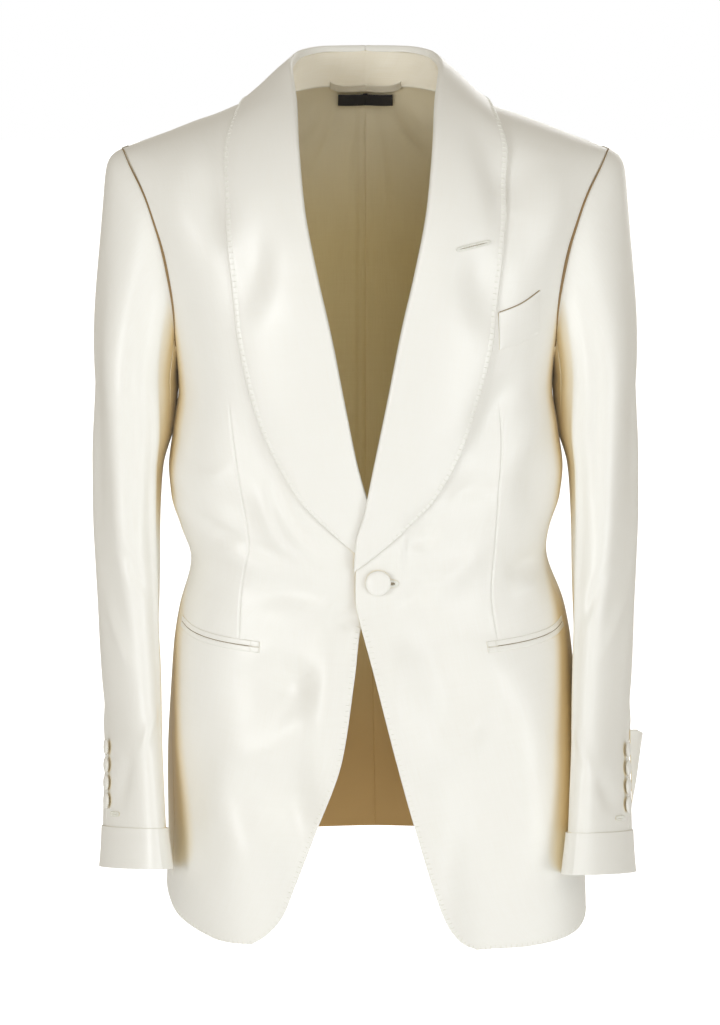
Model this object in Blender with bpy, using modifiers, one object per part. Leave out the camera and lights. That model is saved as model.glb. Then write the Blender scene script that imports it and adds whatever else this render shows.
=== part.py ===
"""A white one-button dinner jacket with a shawl collar, filled out as if worn by nobody.

The cloth is a wall of even thickness on one form, the outer face of the jacket. A point of the
form has an angle (degrees round the body, 0 at the centre front, positive to the wearer's left, 180
at the centre back) and a rise (along the cloth, 0 at the chest line, negative down to the hem, ARCH
at the top of the shoulder). Every seam is a short table of points on that form, every panel is the
patch between four seams, and what lies on a panel is made from the same form moved out. Tables are
in millimetres and degrees, objects in metres. The wearer faces -Y, +Z is up, and the origin is
between the shoulders at the base of the neck.
"""

import math

import bpy
import numpy as np
from mathutils import Vector

MM = 0.001

# Cloth
CLOTH = 1.6 * MM  # the fronts, back and sleeves: silk satin on its canvas
SHAWL_CLOTH = 2.0 * MM  # the shawl collar: facing, canvas and undercollar
LINING_CLOTH = 1.2 * MM
SEAM_GAP = 0.5 * MM  # between neighbours at a seam
SIDE_SEAM_GAP = 1 * MM  # at the side seams, which bend two ways
SLEEVE_SET_GAP = 1.2 * MM  # between the armhole and the sleeve head
LIE_GAP = 1.2 * MM  # between a panel and what lies on it
TRIM_LIFT = 1.6 * MM  # between a panel and its pockets and buttons
INSIDE_TRIM_LIFT = 6.5 * MM  # between the lining and the loop and label
VENT_FLAP_TURN = 10  # degrees past the back seam
LINING_GAP = 3.5 * MM  # the back lining hangs loose inside the back
LINING_ABOVE_HEM = 0.08  # share of the lowest row
LINING_MARGIN = 1.5 * MM

# The form
CHEST_Z = -200 * MM  # rise 0
ARCH = 250 * MM  # length of cloth from the chest line to the top of the shoulder
ROUND_PLAN = 2.6  # superellipse power of the level sections
ROUND_ARCH = 2.2  # and of the chest's turn over the shoulder
RIDGE_AT_NECK_Z = 34 * MM  # the shoulder line's height, carried to the centre
RIDGE_SLOPE = 0.37
SHOULDER_SEAM = 0.6 * MM  # of rise between each side of the shoulder seam and the ridge
SEAM_STRIP = 0.035  # of a panel's width
METRES_PER_DEGREE = 2.6 * MM  # cloth in one degree, for spacing points along a seam

# Levels of the form: rise, half width, depth to the front and to the back, sideways lean, and
# depth of the centre
LEVELS = {
    "rise": [-580, -520, -400, -304, -266, -218, -190, -162, -135, -100, -62, 0, 50, 110, 160, 250],
    "half_width": [200, 199, 195, 185, 178, 165, 171, 179, 181, 175.5, 169, 176, 190, 213, 229, 252],
    "front": [140, 139, 136, 132, 128, 124, 126, 129, 132, 136, 140, 141, 141, 140, 140, 140],
    "back": [130, 130, 128, 122, 116, 112, 114, 118, 121, 125, 129, 130, 128, 122, 120, 118],
    "lean": [10, 10, 8, 7, 6, 3, 0, 0, 0, 0, 0, 0, 0, 0, 0, 0],
    "centre": [-4, -4, -3, -2, 0, 0, 0, 0, 0, 0, 0, 0, 2, 4, 6, 8],
}

# Seams as x (out from the centre) and z
ROLL_LINE_LEFT = {
    "x": [-9, -9, -7, 0, 8, 20, 33, 45, 55, 60],
    "z": [-442, -411, -385, -361, -322, -265, -200, -147, -95, -45],
}
ROLL_LINE_RIGHT = {
    "x": [-23, -24, -14, -3, 8, 20, 33, 45, 55, 60],
    "z": [-436, -418, -390, -357, -322, -265, -200, -147, -95, -45],
}
CUTAWAY_LEFT = {
    "x": [102, 88, 74, 62, 45, 26, 9, -5],
    "z": [-762, -754, -736, -706, -650, -580, -512, -460],
}
CUTAWAY_RIGHT = {
    "x": [101, 88, 75, 64, 44, 20, 9, 4],
    "z": [-755, -746, -730, -702, -648, -581, -506, -466],
}
NECK_FRONT = {"x": [60, 70, 79, 84], "z": [-45, -26, -8, 3]}
NECK_BACK = {"x": [0, 34, 62, 84], "z": [12, 12, 10, 3]}
SHOULDER_X = (84, 120, 170, 222)
ARMHOLE_FRONT = {
    "x": [222, 208, 194, 184, 177, 172, 170, 170],
    "z": [-48, -66, -92, -120, -147, -175, -200, -216],
}
ARMHOLE_BACK = {"x": [222, 211, 200, 188, 176, 163], "z": [-48, -68, -96, -128, -160, -190]}
UNDERARM = {"angle": [74, 82, 92, 102, 112, 120], "rise": [-26, -36, -40, -38, -30, -18]}
SIDE_FRONT_ANGLE = 74
SIDE_BACK_ANGLE = 120
HEM = {
    "angle": [20, 45, 60, 75, 90, 120, 150, 180],
    "rise": [-561, -557, -553, -547, -538, -528, -524, -522],
}
HEM_LEFT_DROP = 7 * MM  # the left front hangs lower than the right

# The shawl collar, a row for each section from its point to the centre back: the outer edge's
# place on the form, as x and z (side 1 on the front, -1 on the back), and for the neck the roll
# line, which stands off the form
SHAWL_EDGE = {
    "x": [8, 30, 60, 84, 97, 113, 119, 124, 125, 118, 109, 88, 52, 0],
    "z": [-398, -379, -348, -306, -270, -195, -140, -90, -50, -22, -6.3, -7, -8, -8],
    "side": [1, 1, 1, 1, 1, 1, 1, 1, 1, 1, 1, -1, -1, -1],
}
SHAWL_FOOT = {
    "x": [60, 70, 84, 70, 40, 0],
    "z": [-45, -26, 3, 9, 12, 12],
    "side": [1, 1, 1, -1, -1, -1],
}
NECK_ROLL = {
    "x": [60, 64, 68, 62, 38, 0],
    "y": [-86, -56, -12, 26, 50, 58],
    "z": [-45, -5, 23, 34, 40, 42],
}
SHAWL_ROLL_LIFT = 4 * MM  # how far the roll stands off the chest
STAND_ABOVE_SEAM = 1 * MM
STAND_INSIDE = 1.2 * MM  # between the stand and the collar that falls from it
SHAWL_FLAT_ROWS = 5  # sections over which that lift grows from the point, and fades to the centre back
LAP = 6.8 * MM  # how far the left front stands over the right at the button
LAP_REACH = (30 * MM, 95 * MM)  # x where the lap starts and stops to fade
LAP_HEIGHTS = (-640 * MM, -500 * MM, -340 * MM, -220 * MM)

# Sleeves, a row for each level below the underarm. A level is an ellipse: narrow across, long
# front to back, and twisted so that its front end turns in to the body. Seam turns run 0 front,
# 90 outward, 180 back, 270 to the body
SLEEVE = {
    "z": [-262, -300, -335, -400, -466, -530, -577, -640, -699],
    "out": [211.5, 214.5, 219, 221, 221, 219, 216.5, 215.5, 213.5],
    "depth_right": [4, 5, 5, 2, -5, -17, -28, -44, -60],
    "depth_left": [4, 5, 4, -3, -19, -41, -58, -80, -101],
    "narrow": [37, 35.5, 31.5, 29, 26, 23.5, 21.5, 22, 23],
    "long": [83, 80, 77, 73, 68.5, 64, 61, 58, 55],
    "twist": [3, 6, 9, 11, 15, 18, 19, 25, 30],
    "tilt": [0, 0, 0, 0.04, 0.1, 0.16, 0.2, 0.25, 0.28],
    "front_seam": [-56, -58, -60, -62, -64, -66, -68, -70, -70],
    "back_seam": [150, 147, 144, 138, 130, 120, 112, 106, 104],
}
SLEEVE_HEAD_ROPE = 14 * MM  # how far the sleeve head stands out past the shoulder seam
SLEEVE_HEAD_TURN = 0.03  # share of the head in which it does
SLEEVE_HEAD_STEPS = (0, 0.02, 0.06, 0.16, 0.34, 0.56, 0.78)
RIGHT_SLEEVE_DROP = 8 * MM
# The top sleeve is one cut piece, held as three solids so that each can be nearly straight: the
# name's ending, and the first and last row
SLEEVE_PARTS = {
    "top_sleeve": (("_head", 0, 8), ("_arm", 7, 13), ("_forearm", 12, None)),
    "under_sleeve": (("", 0, None),),
}
CUFF_HEIGHT = 36 * MM
CUFF_STAND = 1.6 * MM  # between the sleeve and the turned-back cuff

# Pockets, as x and z of the mouth's ends and the middle
WELT = {"x": [117, 135, 153.5], "top": [-186, -178, -168], "bottom": [-218.5, -214, -208]}
HIP_POCKET = {"angle": [31.5, 45, 58, 68.5], "rise": [-284, -282, -279, -275]}
JET = 5 * MM

# Buttons
FRONT_BUTTON = {"x": 11, "z": -423}
FRONT_BUTTON_RADIUS = 11.2 * MM
FRONT_BUTTON_HEIGHT = 5.2 * MM
SLEEVE_BUTTON_RADIUS = 7.6 * MM
SLEEVE_BUTTON_HEIGHT = 3.8 * MM
SLEEVE_BUTTON_Z = (-593, -608.8, -624.6, -640.4)
SLEEVE_BUTTON_TURN = 96  # on the top sleeve, beside the back seam
VENT_FLAP = {"z": [-577, -592, -640], "width": [2, 13, 2]}  # the vent's underlap, where it stands out

# Inside the back neck: half widths, tops and bottoms
HANGER_LOOP = {"half_width": 35, "top": 20, "bottom": 12.5}
NECK_LABEL = {"half_width": 28, "top": 8.5, "bottom": -3}

# Materials: colour, roughness
SATIN = ("ivory_satin", (0.87, 0.85, 0.78), 0.5)
LINING = ("cream_lining", (0.72, 0.67, 0.52), 0.45)
LABEL = ("black_label", (0.012, 0.012, 0.014), 0.6)


def smooth(at, x, y):
    """Smooth curve through (x, y) that never overshoots: cubic pieces whose slopes are harmonic means."""
    x, y = np.asarray(x, float), np.asarray(y, float)
    step = np.diff(x)
    rise = np.diff(y) / step
    slope = np.zeros_like(y)
    same = rise[:-1] * rise[1:] > 0
    sides = np.abs(rise[:-1]) + np.abs(rise[1:])
    slope[1:-1][same] = (2 * rise[:-1] * rise[1:])[same] / (np.sign(rise[:-1]) * sides)[same]
    slope[0], slope[-1] = rise[0], rise[-1]
    at = np.clip(at, x[0], x[-1])
    i = np.clip(np.searchsorted(x, at, side="right") - 1, 0, len(x) - 2)
    t = (at - x[i]) / step[i]
    return (
        y[i] * (1 + 2 * t) * (1 - t) ** 2
        + y[i + 1] * t**2 * (3 - 2 * t)
        + step[i] * (slope[i] * t * (1 - t) ** 2 - slope[i + 1] * t**2 * (1 - t))
    )


def level(rise, column):
    return smooth(rise / MM, LEVELS["rise"], LEVELS[column]) * MM


def superellipse(angle, power):
    """Sine-like and cosine-like factors of the superellipse at a polar angle in radians."""
    s, c = np.sin(angle), np.cos(angle)
    size = (np.abs(s) ** power + np.abs(c) ** power) ** (1 / power)
    return s / size, c / size


def ridge(x):
    return RIDGE_AT_NECK_Z - RIDGE_SLOPE * np.abs(x)


def form(angle, rise):
    """Points of the outer face. Below the chest line the level sections are superellipses; above
    it the same section shrinks in depth along a superellipse arch, up to the shoulder line."""
    across, forward = superellipse(np.radians(angle), ROUND_PLAN)
    up, deep = superellipse(np.clip(rise / ARCH, 0, 1) * math.pi / 2, ROUND_ARCH)
    x = level(rise, "lean") + level(rise, "half_width") * across
    depth = np.where(forward > 0, level(rise, "front"), level(rise, "back"))
    y = level(rise, "centre") - depth * forward * deep
    z = np.where(rise > 0, CHEST_Z + (ridge(x) - CHEST_Z) * up, CHEST_Z + rise)
    return np.stack(np.broadcast_arrays(x, y, z), axis=-1)


def outward(angle, rise):
    """Unit normals of the form, pointing out of the jacket."""
    step_angle, step_rise = 0.3, 0.4 * MM
    middle = np.minimum(rise, ARCH - 2 * step_rise)
    round_body = form(angle + step_angle, rise) - form(angle - step_angle, rise)
    up_body = form(angle, middle + step_rise) - form(angle, middle - step_rise)
    normal = np.cross(round_body, up_body)
    return normal / np.linalg.norm(normal, axis=-1, keepdims=True)


def lifted(angle, rise, out):
    """Points of the form moved out along its normal."""
    angle, rise, out = np.broadcast_arrays(angle, rise, out)
    return form(angle, rise) + outward(angle, rise) * out[..., None]


def place(x, z, hand=1, side=1):
    """Angle and rise of the point of the form at x out from the centre and z, in millimetres, on the front
    (side 1) or the back (side -1) of the wearer's left (hand 1) or right (hand -1)."""
    x, z, side = np.broadcast_arrays(np.asarray(x, float) * MM, np.asarray(z, float) * MM, side)
    up = np.clip((z - CHEST_Z) / (ridge(x) - CHEST_Z), 0, 1)
    arch = np.arctan2(up, (1 - up**ROUND_ARCH) ** (1 / ROUND_ARCH)) / (math.pi / 2) * ARCH
    arch = np.minimum(arch, ARCH - SHOULDER_SEAM)
    rise = np.where(z > CHEST_Z, arch, z - CHEST_Z)
    across = (hand * x - level(rise, "lean")) / level(rise, "half_width")
    forward = (1 - np.clip(np.abs(across), 0, 1) ** ROUND_PLAN) ** (1 / ROUND_PLAN)
    return np.degrees(np.arctan2(across, side * forward)), rise


def joined(*pieces):
    """One seam from several, each (angles, rises), leaving out a point that repeats the last."""
    angle = np.concatenate([np.atleast_1d(p[0]) for p in pieces])
    rise = np.concatenate([np.atleast_1d(p[1]) for p in pieces])
    steps = np.hypot(np.diff(angle) * METRES_PER_DEGREE, np.diff(rise))
    keep = np.concatenate([[True], steps > 0.5 * MM])
    return angle[keep], rise[keep]


def seamed(count):
    """count fractions from 0 to 1, evenly spaced but for the first and last, which keep a narrow
    strip beside each seam, so that the wall stands square to the cloth there."""
    return np.concatenate([[0], np.linspace(SEAM_STRIP, 1 - SEAM_STRIP, count - 2), [1]])


def spaced(count, closer_at=None, width=0.12, strength=1.6):
    """count fractions from 0 to 1, closer together around one fraction."""
    even = np.linspace(0, 1, count)
    if closer_at is None:
        return even
    fine = np.linspace(0, 1, 401)
    density = 1 + strength * np.exp(-(((fine - closer_at) / width) ** 2))
    total = np.cumsum(density) - density[0]
    return np.interp(even * total[-1], total, fine)


def along(seam, fractions):
    """Points at fractions of a seam's length."""
    angle, rise = seam
    steps = np.hypot(np.diff(angle) * METRES_PER_DEGREE, np.diff(rise))
    length = np.concatenate([[0], np.cumsum(steps)])
    at = fractions * length[-1]
    return np.stack([smooth(at, length, angle), smooth(at, length, rise)], axis=-1)


def patch(inner, outer, bottom, top, across, up, waist=None):
    """Angles and rises of a grid between four seams: each row and column is blended from the seams
    it joins. Rows are closer together around the waist, a fraction of the way up."""
    rows, columns = spaced(up + 1, waist), seamed(across + 1)
    left, right = along(inner, rows), along(outer, rows)
    low, high = along(bottom, columns), along(top, columns)
    v = rows[:, None, None]
    u = columns[None, :, None]
    sides = (1 - u) * left[:, None] + u * right[:, None]
    ends = (1 - v) * low[None] + v * high[None]
    corners = (1 - v) * ((1 - u) * left[0] + u * right[0])
    corners = corners + v * ((1 - u) * left[-1] + u * right[-1])
    grid = sides + ends - corners
    return grid[..., 0], grid[..., 1]


def drawn_in(points, by=SEAM_GAP / 2):
    """The grid with its border moved towards its middle, to leave a gap at each seam."""
    points = points.copy()
    for _ in range(2):
        for edge, inside in ((0, 1), (-1, -2)):
            inwards = points[inside] - points[edge]
            points[edge] += by * inwards / np.linalg.norm(inwards, axis=-1, keepdims=True)
        points = points.swapaxes(0, 1)
    return points


def material(name, colour, roughness):
    found = bpy.data.materials.get(name)
    if found:
        return found
    made = bpy.data.materials.new(name)
    made.use_nodes = True
    shader = made.node_tree.nodes["Principled BSDF"]
    shader.inputs["Base Color"].default_value = (*colour, 1)
    shader.inputs["Roughness"].default_value = roughness
    shader.inputs["Metallic"].default_value = 0
    return made


def named_object(name, mesh, finish):
    mesh.materials.append(material(*finish))
    made = bpy.data.objects.new(name, mesh)
    bpy.data.collections["dinner_jacket"].objects.link(made)
    return made


def cloth(name, points, thickness=CLOTH, finish=SATIN, away_from=(0, 0, -0.35), ring=False):
    """A sheet through a grid of points, its face turned away from a point or from a column of
    points (one for each row), and a Solidify that gives it its thickness inwards. ring closes each
    row on itself."""
    rows, columns = points.shape[:2]
    number = np.arange(rows * columns).reshape(rows, columns)
    if ring:
        number = np.concatenate([number, number[:, :1]], axis=1)
    corners = number[:-1, :-1], number[:-1, 1:], number[1:, 1:], number[1:, :-1]
    faces = np.stack(corners, axis=-1).reshape(-1, 4)
    flat = points.reshape(-1, 3)
    corners = flat[faces]
    normals = np.cross(corners[:, 2] - corners[:, 0], corners[:, 3] - corners[:, 1])
    centre = np.broadcast_to(np.asarray(away_from, float), (rows, 3))
    middle = np.repeat((centre[:-1] + centre[1:]) / 2, number.shape[1] - 1, axis=0)
    if np.sum(normals * (corners.mean(axis=1) - middle)) < 0:
        faces = faces[:, ::-1]
    mesh = bpy.data.meshes.new(name)
    mesh.from_pydata(flat.tolist(), [], faces.tolist())
    mesh.shade_smooth()
    made = named_object(name, mesh, finish)
    wall = made.modifiers.new("Solidify", "SOLIDIFY")
    wall.thickness = thickness
    wall.offset = -1
    return made


def reversed_seam(seam):
    return seam[0][::-1], seam[1][::-1]


def hem(first, last, hand, drop=0.0):
    angle = np.linspace(first, last, 9)
    return hand * angle, smooth(angle, HEM["angle"], HEM["rise"]) * MM - drop * (180 - angle) / 180


def armhole(which, hand):
    """The armhole's front or back half, from the underarm seam up to the shoulder."""
    table, side = (ARMHOLE_FRONT, 1) if which == "front" else (ARMHOLE_BACK, -1)
    edge_angle = SIDE_FRONT_ANGLE if which == "front" else SIDE_BACK_ANGLE
    start = hand * edge_angle, smooth(edge_angle, UNDERARM["angle"], UNDERARM["rise"]) * MM
    return joined(start, reversed_seam(place(table["x"], table["z"], hand, side)))


def shoulder(hand, side):
    x = np.array(SHOULDER_X, float)
    return place(x, ridge(x * MM) / MM, hand, side)


def lap(x, z):
    """How far the left front stands out over the right one: full at the button, fading sideways,
    up and down."""
    near, far = LAP_REACH
    sideways = 1 - np.clip((x - near) / (far - near), 0, 1)
    bottom, low, high, top = LAP_HEIGHTS
    upward = np.clip((z - bottom) / (low - bottom), 0, 1) * np.clip((top - z) / (top - high), 0, 1)
    ease = sideways * upward
    return LAP * ease * ease * (3 - 2 * ease)


def front_out(angle, rise, hand, out=0.0):
    """How far above the form a layer on a front lies: the left front also carries its lap."""
    if hand < 0:
        return out + 0 * rise
    at = form(angle, rise)
    return out + lap(at[..., 0], at[..., 2])


def front_panel(hand):
    if hand > 0:
        roll, cut, drop = ROLL_LINE_LEFT, CUTAWAY_LEFT, HEM_LEFT_DROP
    else:
        roll, cut, drop = ROLL_LINE_RIGHT, CUTAWAY_RIGHT, 0
    inner = joined(
        place(cut["x"], cut["z"], hand),
        place(roll["x"], roll["z"], hand),
        place(NECK_FRONT["x"], NECK_FRONT["z"], hand),
    )
    hem_end = hem(SIDE_FRONT_ANGLE, SIDE_FRONT_ANGLE, hand, drop)
    outer = joined((hem_end[0][:1], hem_end[1][:1]), armhole("front", hand))
    tip_angle = abs(float(inner[0][0]))
    bottom = hem(tip_angle, SIDE_FRONT_ANGLE, hand, drop)
    bottom = joined((inner[0][:1], inner[1][:1]), (bottom[0][2:], bottom[1][2:]))
    return patch(inner, outer, bottom, shoulder(hand, 1), across=10, up=20, waist=0.42)


def back_panel(hand, across=8, up=16):
    top_z = NECK_BACK["z"][0]
    neck = place(NECK_BACK["x"], NECK_BACK["z"], hand, -1)
    centre_top = place(0, top_z, hand, -1)
    neck = joined((hand * 180, centre_top[1]), (neck[0][1:], neck[1][1:]), shoulder(hand, -1))
    bottom = reversed_seam(hem(SIDE_BACK_ANGLE, 180, hand))
    centre_rise = bottom[1][0], -0.35, -0.1, centre_top[1]
    inner = joined(*((hand * 180, rise) for rise in centre_rise))
    outer = joined((hand * SIDE_BACK_ANGLE, bottom[1][-1]), armhole("back", hand))
    return patch(inner, outer, bottom, neck, across, up, waist=0.4)


def side_panel(hand):
    bottom = hem(SIDE_FRONT_ANGLE, SIDE_BACK_ANGLE, hand)
    top = hand * np.array(UNDERARM["angle"], float), np.array(UNDERARM["rise"]) * MM
    inner = joined((bottom[0][0], bottom[1][0]), (top[0][0], top[1][0]))
    outer = joined((bottom[0][-1], bottom[1][-1]), (top[0][-1], top[1][-1]))
    return patch(inner, outer, bottom, top, across=4, up=12, waist=0.62)


def neck_stations(hand):
    """For each section round the neck: the collar's foot on the form, and its roll line."""
    foot = form(*place(SHAWL_FOOT["x"], SHAWL_FOOT["z"], hand, SHAWL_FOOT["side"]))
    roll = np.stack([hand * np.array(NECK_ROLL["x"]), NECK_ROLL["y"], NECK_ROLL["z"]], axis=-1) * MM
    return foot, roll


def shawl(hand, across=5, between=2):
    """Points of one half of the shawl collar: rows from its point up the chest and round to the
    centre back, columns from the roll line to the outer edge. Each lies on the form, lifted at the
    roll; round the neck the lift is the whole stand, from the collar's foot to the roll line."""
    roll = ROLL_LINE_LEFT if hand > 0 else ROLL_LINE_RIGHT
    chest = np.array(place(roll["x"][1:], roll["z"][1:], hand))
    neck = np.array(place(SHAWL_FOOT["x"][1:], SHAWL_FOOT["z"][1:], hand, SHAWL_FOOT["side"][1:]))
    foot = np.concatenate([chest, neck], axis=1)
    edge = np.array(place(SHAWL_EDGE["x"], SHAWL_EDGE["z"], hand, SHAWL_EDGE["side"]))
    edge[0, -1] = foot[0, -1] = hand * 180
    row = np.arange(foot.shape[1])[:, None]
    u = np.linspace(0, 1, across + 1)[None, :]
    angle = (1 - u) * foot[0][:, None] + u * edge[0][:, None]
    rise = (1 - u) * foot[1][:, None] + u * edge[1][:, None]
    grown = np.clip(row / SHAWL_FLAT_ROWS, 0, 1) * np.clip((len(row) - 1 - row) / SHAWL_FLAT_ROWS, 0, 1)
    out = LIE_GAP + SHAWL_CLOTH + SHAWL_ROLL_LIFT * grown * (1 - u) ** 2 + 0 * angle
    points = lifted(angle, rise, front_out(angle, rise, hand, out))
    feet, rolls = neck_stations(hand)
    stand = np.zeros((len(row), 3))
    stand[-len(feet) + 1 :] = (rolls - feet)[1:]
    points = points + stand[:, None, :] * ((1 - u) ** 0.9)[..., None]
    return finer_rows(points, between)


def finer_rows(points, between):
    """The grid with smooth rows put between its own."""
    row = np.arange(len(points))
    fine = np.linspace(0, row[-1], row[-1] * between + 1)
    flat = points.reshape(len(points), -1)
    made = np.stack([smooth(fine, row, flat[:, k]) for k in range(flat.shape[1])], axis=-1)
    return made.reshape(len(fine), *points.shape[1:])


def collar_stand(between=2):
    """The stand inside the collar, from the neck seam up to the roll line, right round the neck."""
    halves = []
    for hand in (-1, 1):
        feet, rolls = neck_stations(hand)
        up = (rolls - feet) / np.clip(np.linalg.norm(rolls - feet, axis=-1, keepdims=True), 1 * MM, None)
        inwards = -rolls * (1, 1, 0) / np.linalg.norm(rolls[:, :2], axis=-1, keepdims=True)
        low, middle, high = (
            feet + up * STAND_ABOVE_SEAM + inwards * STAND_INSIDE,
            (feet + rolls) / 2 + inwards * STAND_INSIDE,
            rolls + inwards * STAND_INSIDE,
        )
        halves.append(finer_rows(np.stack([low, middle, high], axis=1)[1:], between))
    return np.concatenate([halves[0], halves[1][-2::-1]])


def sleeve_level(z, column):
    return smooth(-z / MM, -np.array(SLEEVE["z"], float), SLEEVE[column])


def sleeve_depth(z, hand):
    return sleeve_level(z, "depth_left" if hand > 0 else "depth_right") * MM


def armhole_loop(turn, hand):
    """Point of the armhole at a turn round the sleeve: -90 at the underarm, 0 at the front, 90 at
    the shoulder."""
    under = np.array(UNDERARM["angle"], float), np.array(UNDERARM["rise"]) * MM
    middle = len(under[0]) // 2
    under_front = hand * under[0][:middle][::-1], under[1][:middle][::-1]
    under_back = hand * under[0][middle:], under[1][middle:]
    fractions = np.linspace(0, 1, 61)
    front = along(joined(under_front, armhole("front", hand)), fractions)
    back = along(joined(under_back, armhole("back", hand)), fractions)
    turn = np.mod(turn + 90, 360) - 90
    on_front = turn <= 90
    part = np.where(on_front, (turn + 90) / 180, (270 - turn) / 180)
    angle, rise = (
        np.where(on_front, np.interp(part, fractions, front[:, k]), np.interp(part, fractions, back[:, k]))
        for k in range(2)
    )
    return form(angle, rise)


def sleeve_ring(turn, z, hand, grow=0.0):
    """Points of the sleeve's outer face: a twisted ellipse at each level, tilted as the arm bends.
    turn and z broadcast together; grow moves them out."""
    narrow, long = (sleeve_level(z, column) * MM + grow for column in ("narrow", "long"))
    twist, t = np.radians(sleeve_level(z, "twist")), np.radians(turn)
    outwards = narrow * np.sin(t) * np.cos(twist) - long * np.cos(t) * np.sin(twist)
    back = -narrow * np.sin(t) * np.sin(twist) - long * np.cos(t) * np.cos(twist)
    first, last = SLEEVE["z"][0] * MM, SLEEVE["z"][-1] * MM
    drop = RIGHT_SLEEVE_DROP * (z - first) / (last - first) if hand < 0 else 0
    height = z - sleeve_level(z, "tilt") * back - drop
    x = hand * (sleeve_level(z, "out") * MM + outwards)
    return np.stack(np.broadcast_arrays(x, sleeve_depth(z, hand) + back, height), axis=-1)


def sleeve(first, last, hand, across, below=10):
    """Points between two seams of a sleeve. The head runs from the armhole to the first level on
    curves that arrive pointing down, and stands out past the shoulder seam."""
    z = np.linspace(SLEEVE["z"][0], SLEEVE["z"][-1], below + 1) * MM
    u = seamed(across + 1)[None, :]
    whole_turn = 360 if last == "front_seam" else 0
    turn = sleeve_level(z, first)[:, None] * (1 - u) + (sleeve_level(z, last)[:, None] + whole_turn) * u
    tube = sleeve_ring(turn, z[:, None], hand)
    s = np.array(SLEEVE_HEAD_STEPS)[:, None, None]
    start, end = armhole_loop(turn[0], hand), tube[0]
    chord = end - start
    arrive = np.array([0, 0, -1]) * np.linalg.norm(chord, axis=-1, keepdims=True)
    height = np.clip(np.sin(np.radians(turn[0])), 0, 1)[:, None]
    out = np.array([hand, 0, 0]) * SLEEVE_HEAD_ROPE * (0.2 + 0.8 * height)
    start = start + np.array([hand, 0, 0]) * SLEEVE_SET_GAP
    head = (
        (1 + 2 * s) * (1 - s) ** 2 * start
        + s**2 * (3 - 2 * s) * end
        + s * (1 - s) ** 2 * chord
        - s**2 * (1 - s) * arrive
        + out * (1 - np.exp(-s / SLEEVE_HEAD_TURN)) * (1 - s)
    )
    return np.concatenate([head, tube])


def sleeve_axis(points, hand):
    """A point inside the sleeve for each row."""
    z = points[..., 2].mean(axis=1)
    low = np.clip(z, SLEEVE["z"][-1] * MM, SLEEVE["z"][0] * MM)
    out = sleeve_level(low, "out") * MM
    return np.stack([hand * np.where(z > low, out - 20 * MM, out), sleeve_depth(low, hand), z], axis=-1)


def cuff(hand):
    """The turned-back cuff, a band round the sleeve's end."""
    turn = np.arange(0, 360, 360 / 20)[None, :]
    bottom = SLEEVE["z"][-1] * MM
    z = np.linspace(bottom + CUFF_HEIGHT, bottom, 4)[:, None]
    return sleeve_ring(turn, z, hand, grow=CUFF_STAND + CLOTH)


def button(name, at, facing, radius, height, finish=SATIN):
    """A covered button: a cylinder with a rounded top, turned to face outward."""
    bpy.ops.mesh.primitive_cylinder_add(vertices=16, radius=radius, depth=height, location=(0, 0, 0))
    made = bpy.context.object
    made.name = made.data.name = name
    top = [v for v in made.data.vertices if v.co.z > 0]
    for v in top:
        v.co.x *= 0.78
        v.co.y *= 0.78
    for other in list(made.users_collection):
        other.objects.unlink(made)
    bpy.data.collections["dinner_jacket"].objects.link(made)
    made.data.materials.append(material(*finish))
    facing = np.asarray(facing) / np.linalg.norm(facing)
    made.rotation_mode = "QUATERNION"
    made.rotation_quaternion = Vector(facing).to_track_quat("Z", "Y")
    made.location = Vector(np.asarray(at) + facing * height / 2)
    made.data.shade_smooth()
    made.data.set_sharp_from_angle(angle=math.radians(50))
    return made


def build_fronts_and_back():
    for hand, name in ((1, "left"), (-1, "right")):
        angle, rise = front_panel(hand)
        cloth(f"front_{name}", drawn_in(lifted(angle, rise, front_out(angle, rise, hand))))
        cloth(f"side_{name}", drawn_in(form(*side_panel(hand)), SIDE_SEAM_GAP))
        cloth(f"back_{name}", drawn_in(form(*back_panel(hand)), SEAM_GAP))


def build_collar():
    for hand, name in ((1, "left"), (-1, "right")):
        cloth(f"shawl_{name}", drawn_in(shawl(hand), SEAM_GAP), SHAWL_CLOTH)
    cloth("collar_stand", collar_stand(), CLOTH, away_from=(0, -0.02, 0.02))


def build_sleeves():
    for hand, name in ((1, "left"), (-1, "right")):
        for label, first, last, across in (
            ("top_sleeve", "front_seam", "back_seam", 9),
            ("under_sleeve", "back_seam", "front_seam", 7),
        ):
            whole = sleeve(first, last, hand, across)
            for part, start, end in SLEEVE_PARTS[label]:
                points = drawn_in(whole[start:end], SEAM_GAP)
                cloth(f"{label}_{name}{part}", points, away_from=sleeve_axis(points, hand))
        band = cuff(hand)
        cloth(f"cuff_{name}", band, away_from=sleeve_axis(band, hand), ring=True)


def build_pockets():
    cloth("chest_welt", welt_grid())
    middle = np.array(HIP_POCKET["rise"]) * MM
    angle = spaced(7) * (HIP_POCKET["angle"][-1] - HIP_POCKET["angle"][0]) + HIP_POCKET["angle"][0]
    middle = smooth(angle, HIP_POCKET["angle"], middle)
    for hand, name in ((1, "left"), (-1, "right")):
        for which, top, bottom in (("upper", JET, SEAM_GAP / 2), ("lower", -SEAM_GAP / 2, -JET)):
            rise = np.stack([middle + bottom, middle + (top + bottom) / 2, middle + top])
            turned = hand * angle + 0 * rise
            out = front_out(turned, rise, hand, TRIM_LIFT + CLOTH + 0 * rise)
            cloth(f"hip_jet_{which}_{name}", lifted(turned, rise, out))


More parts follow.
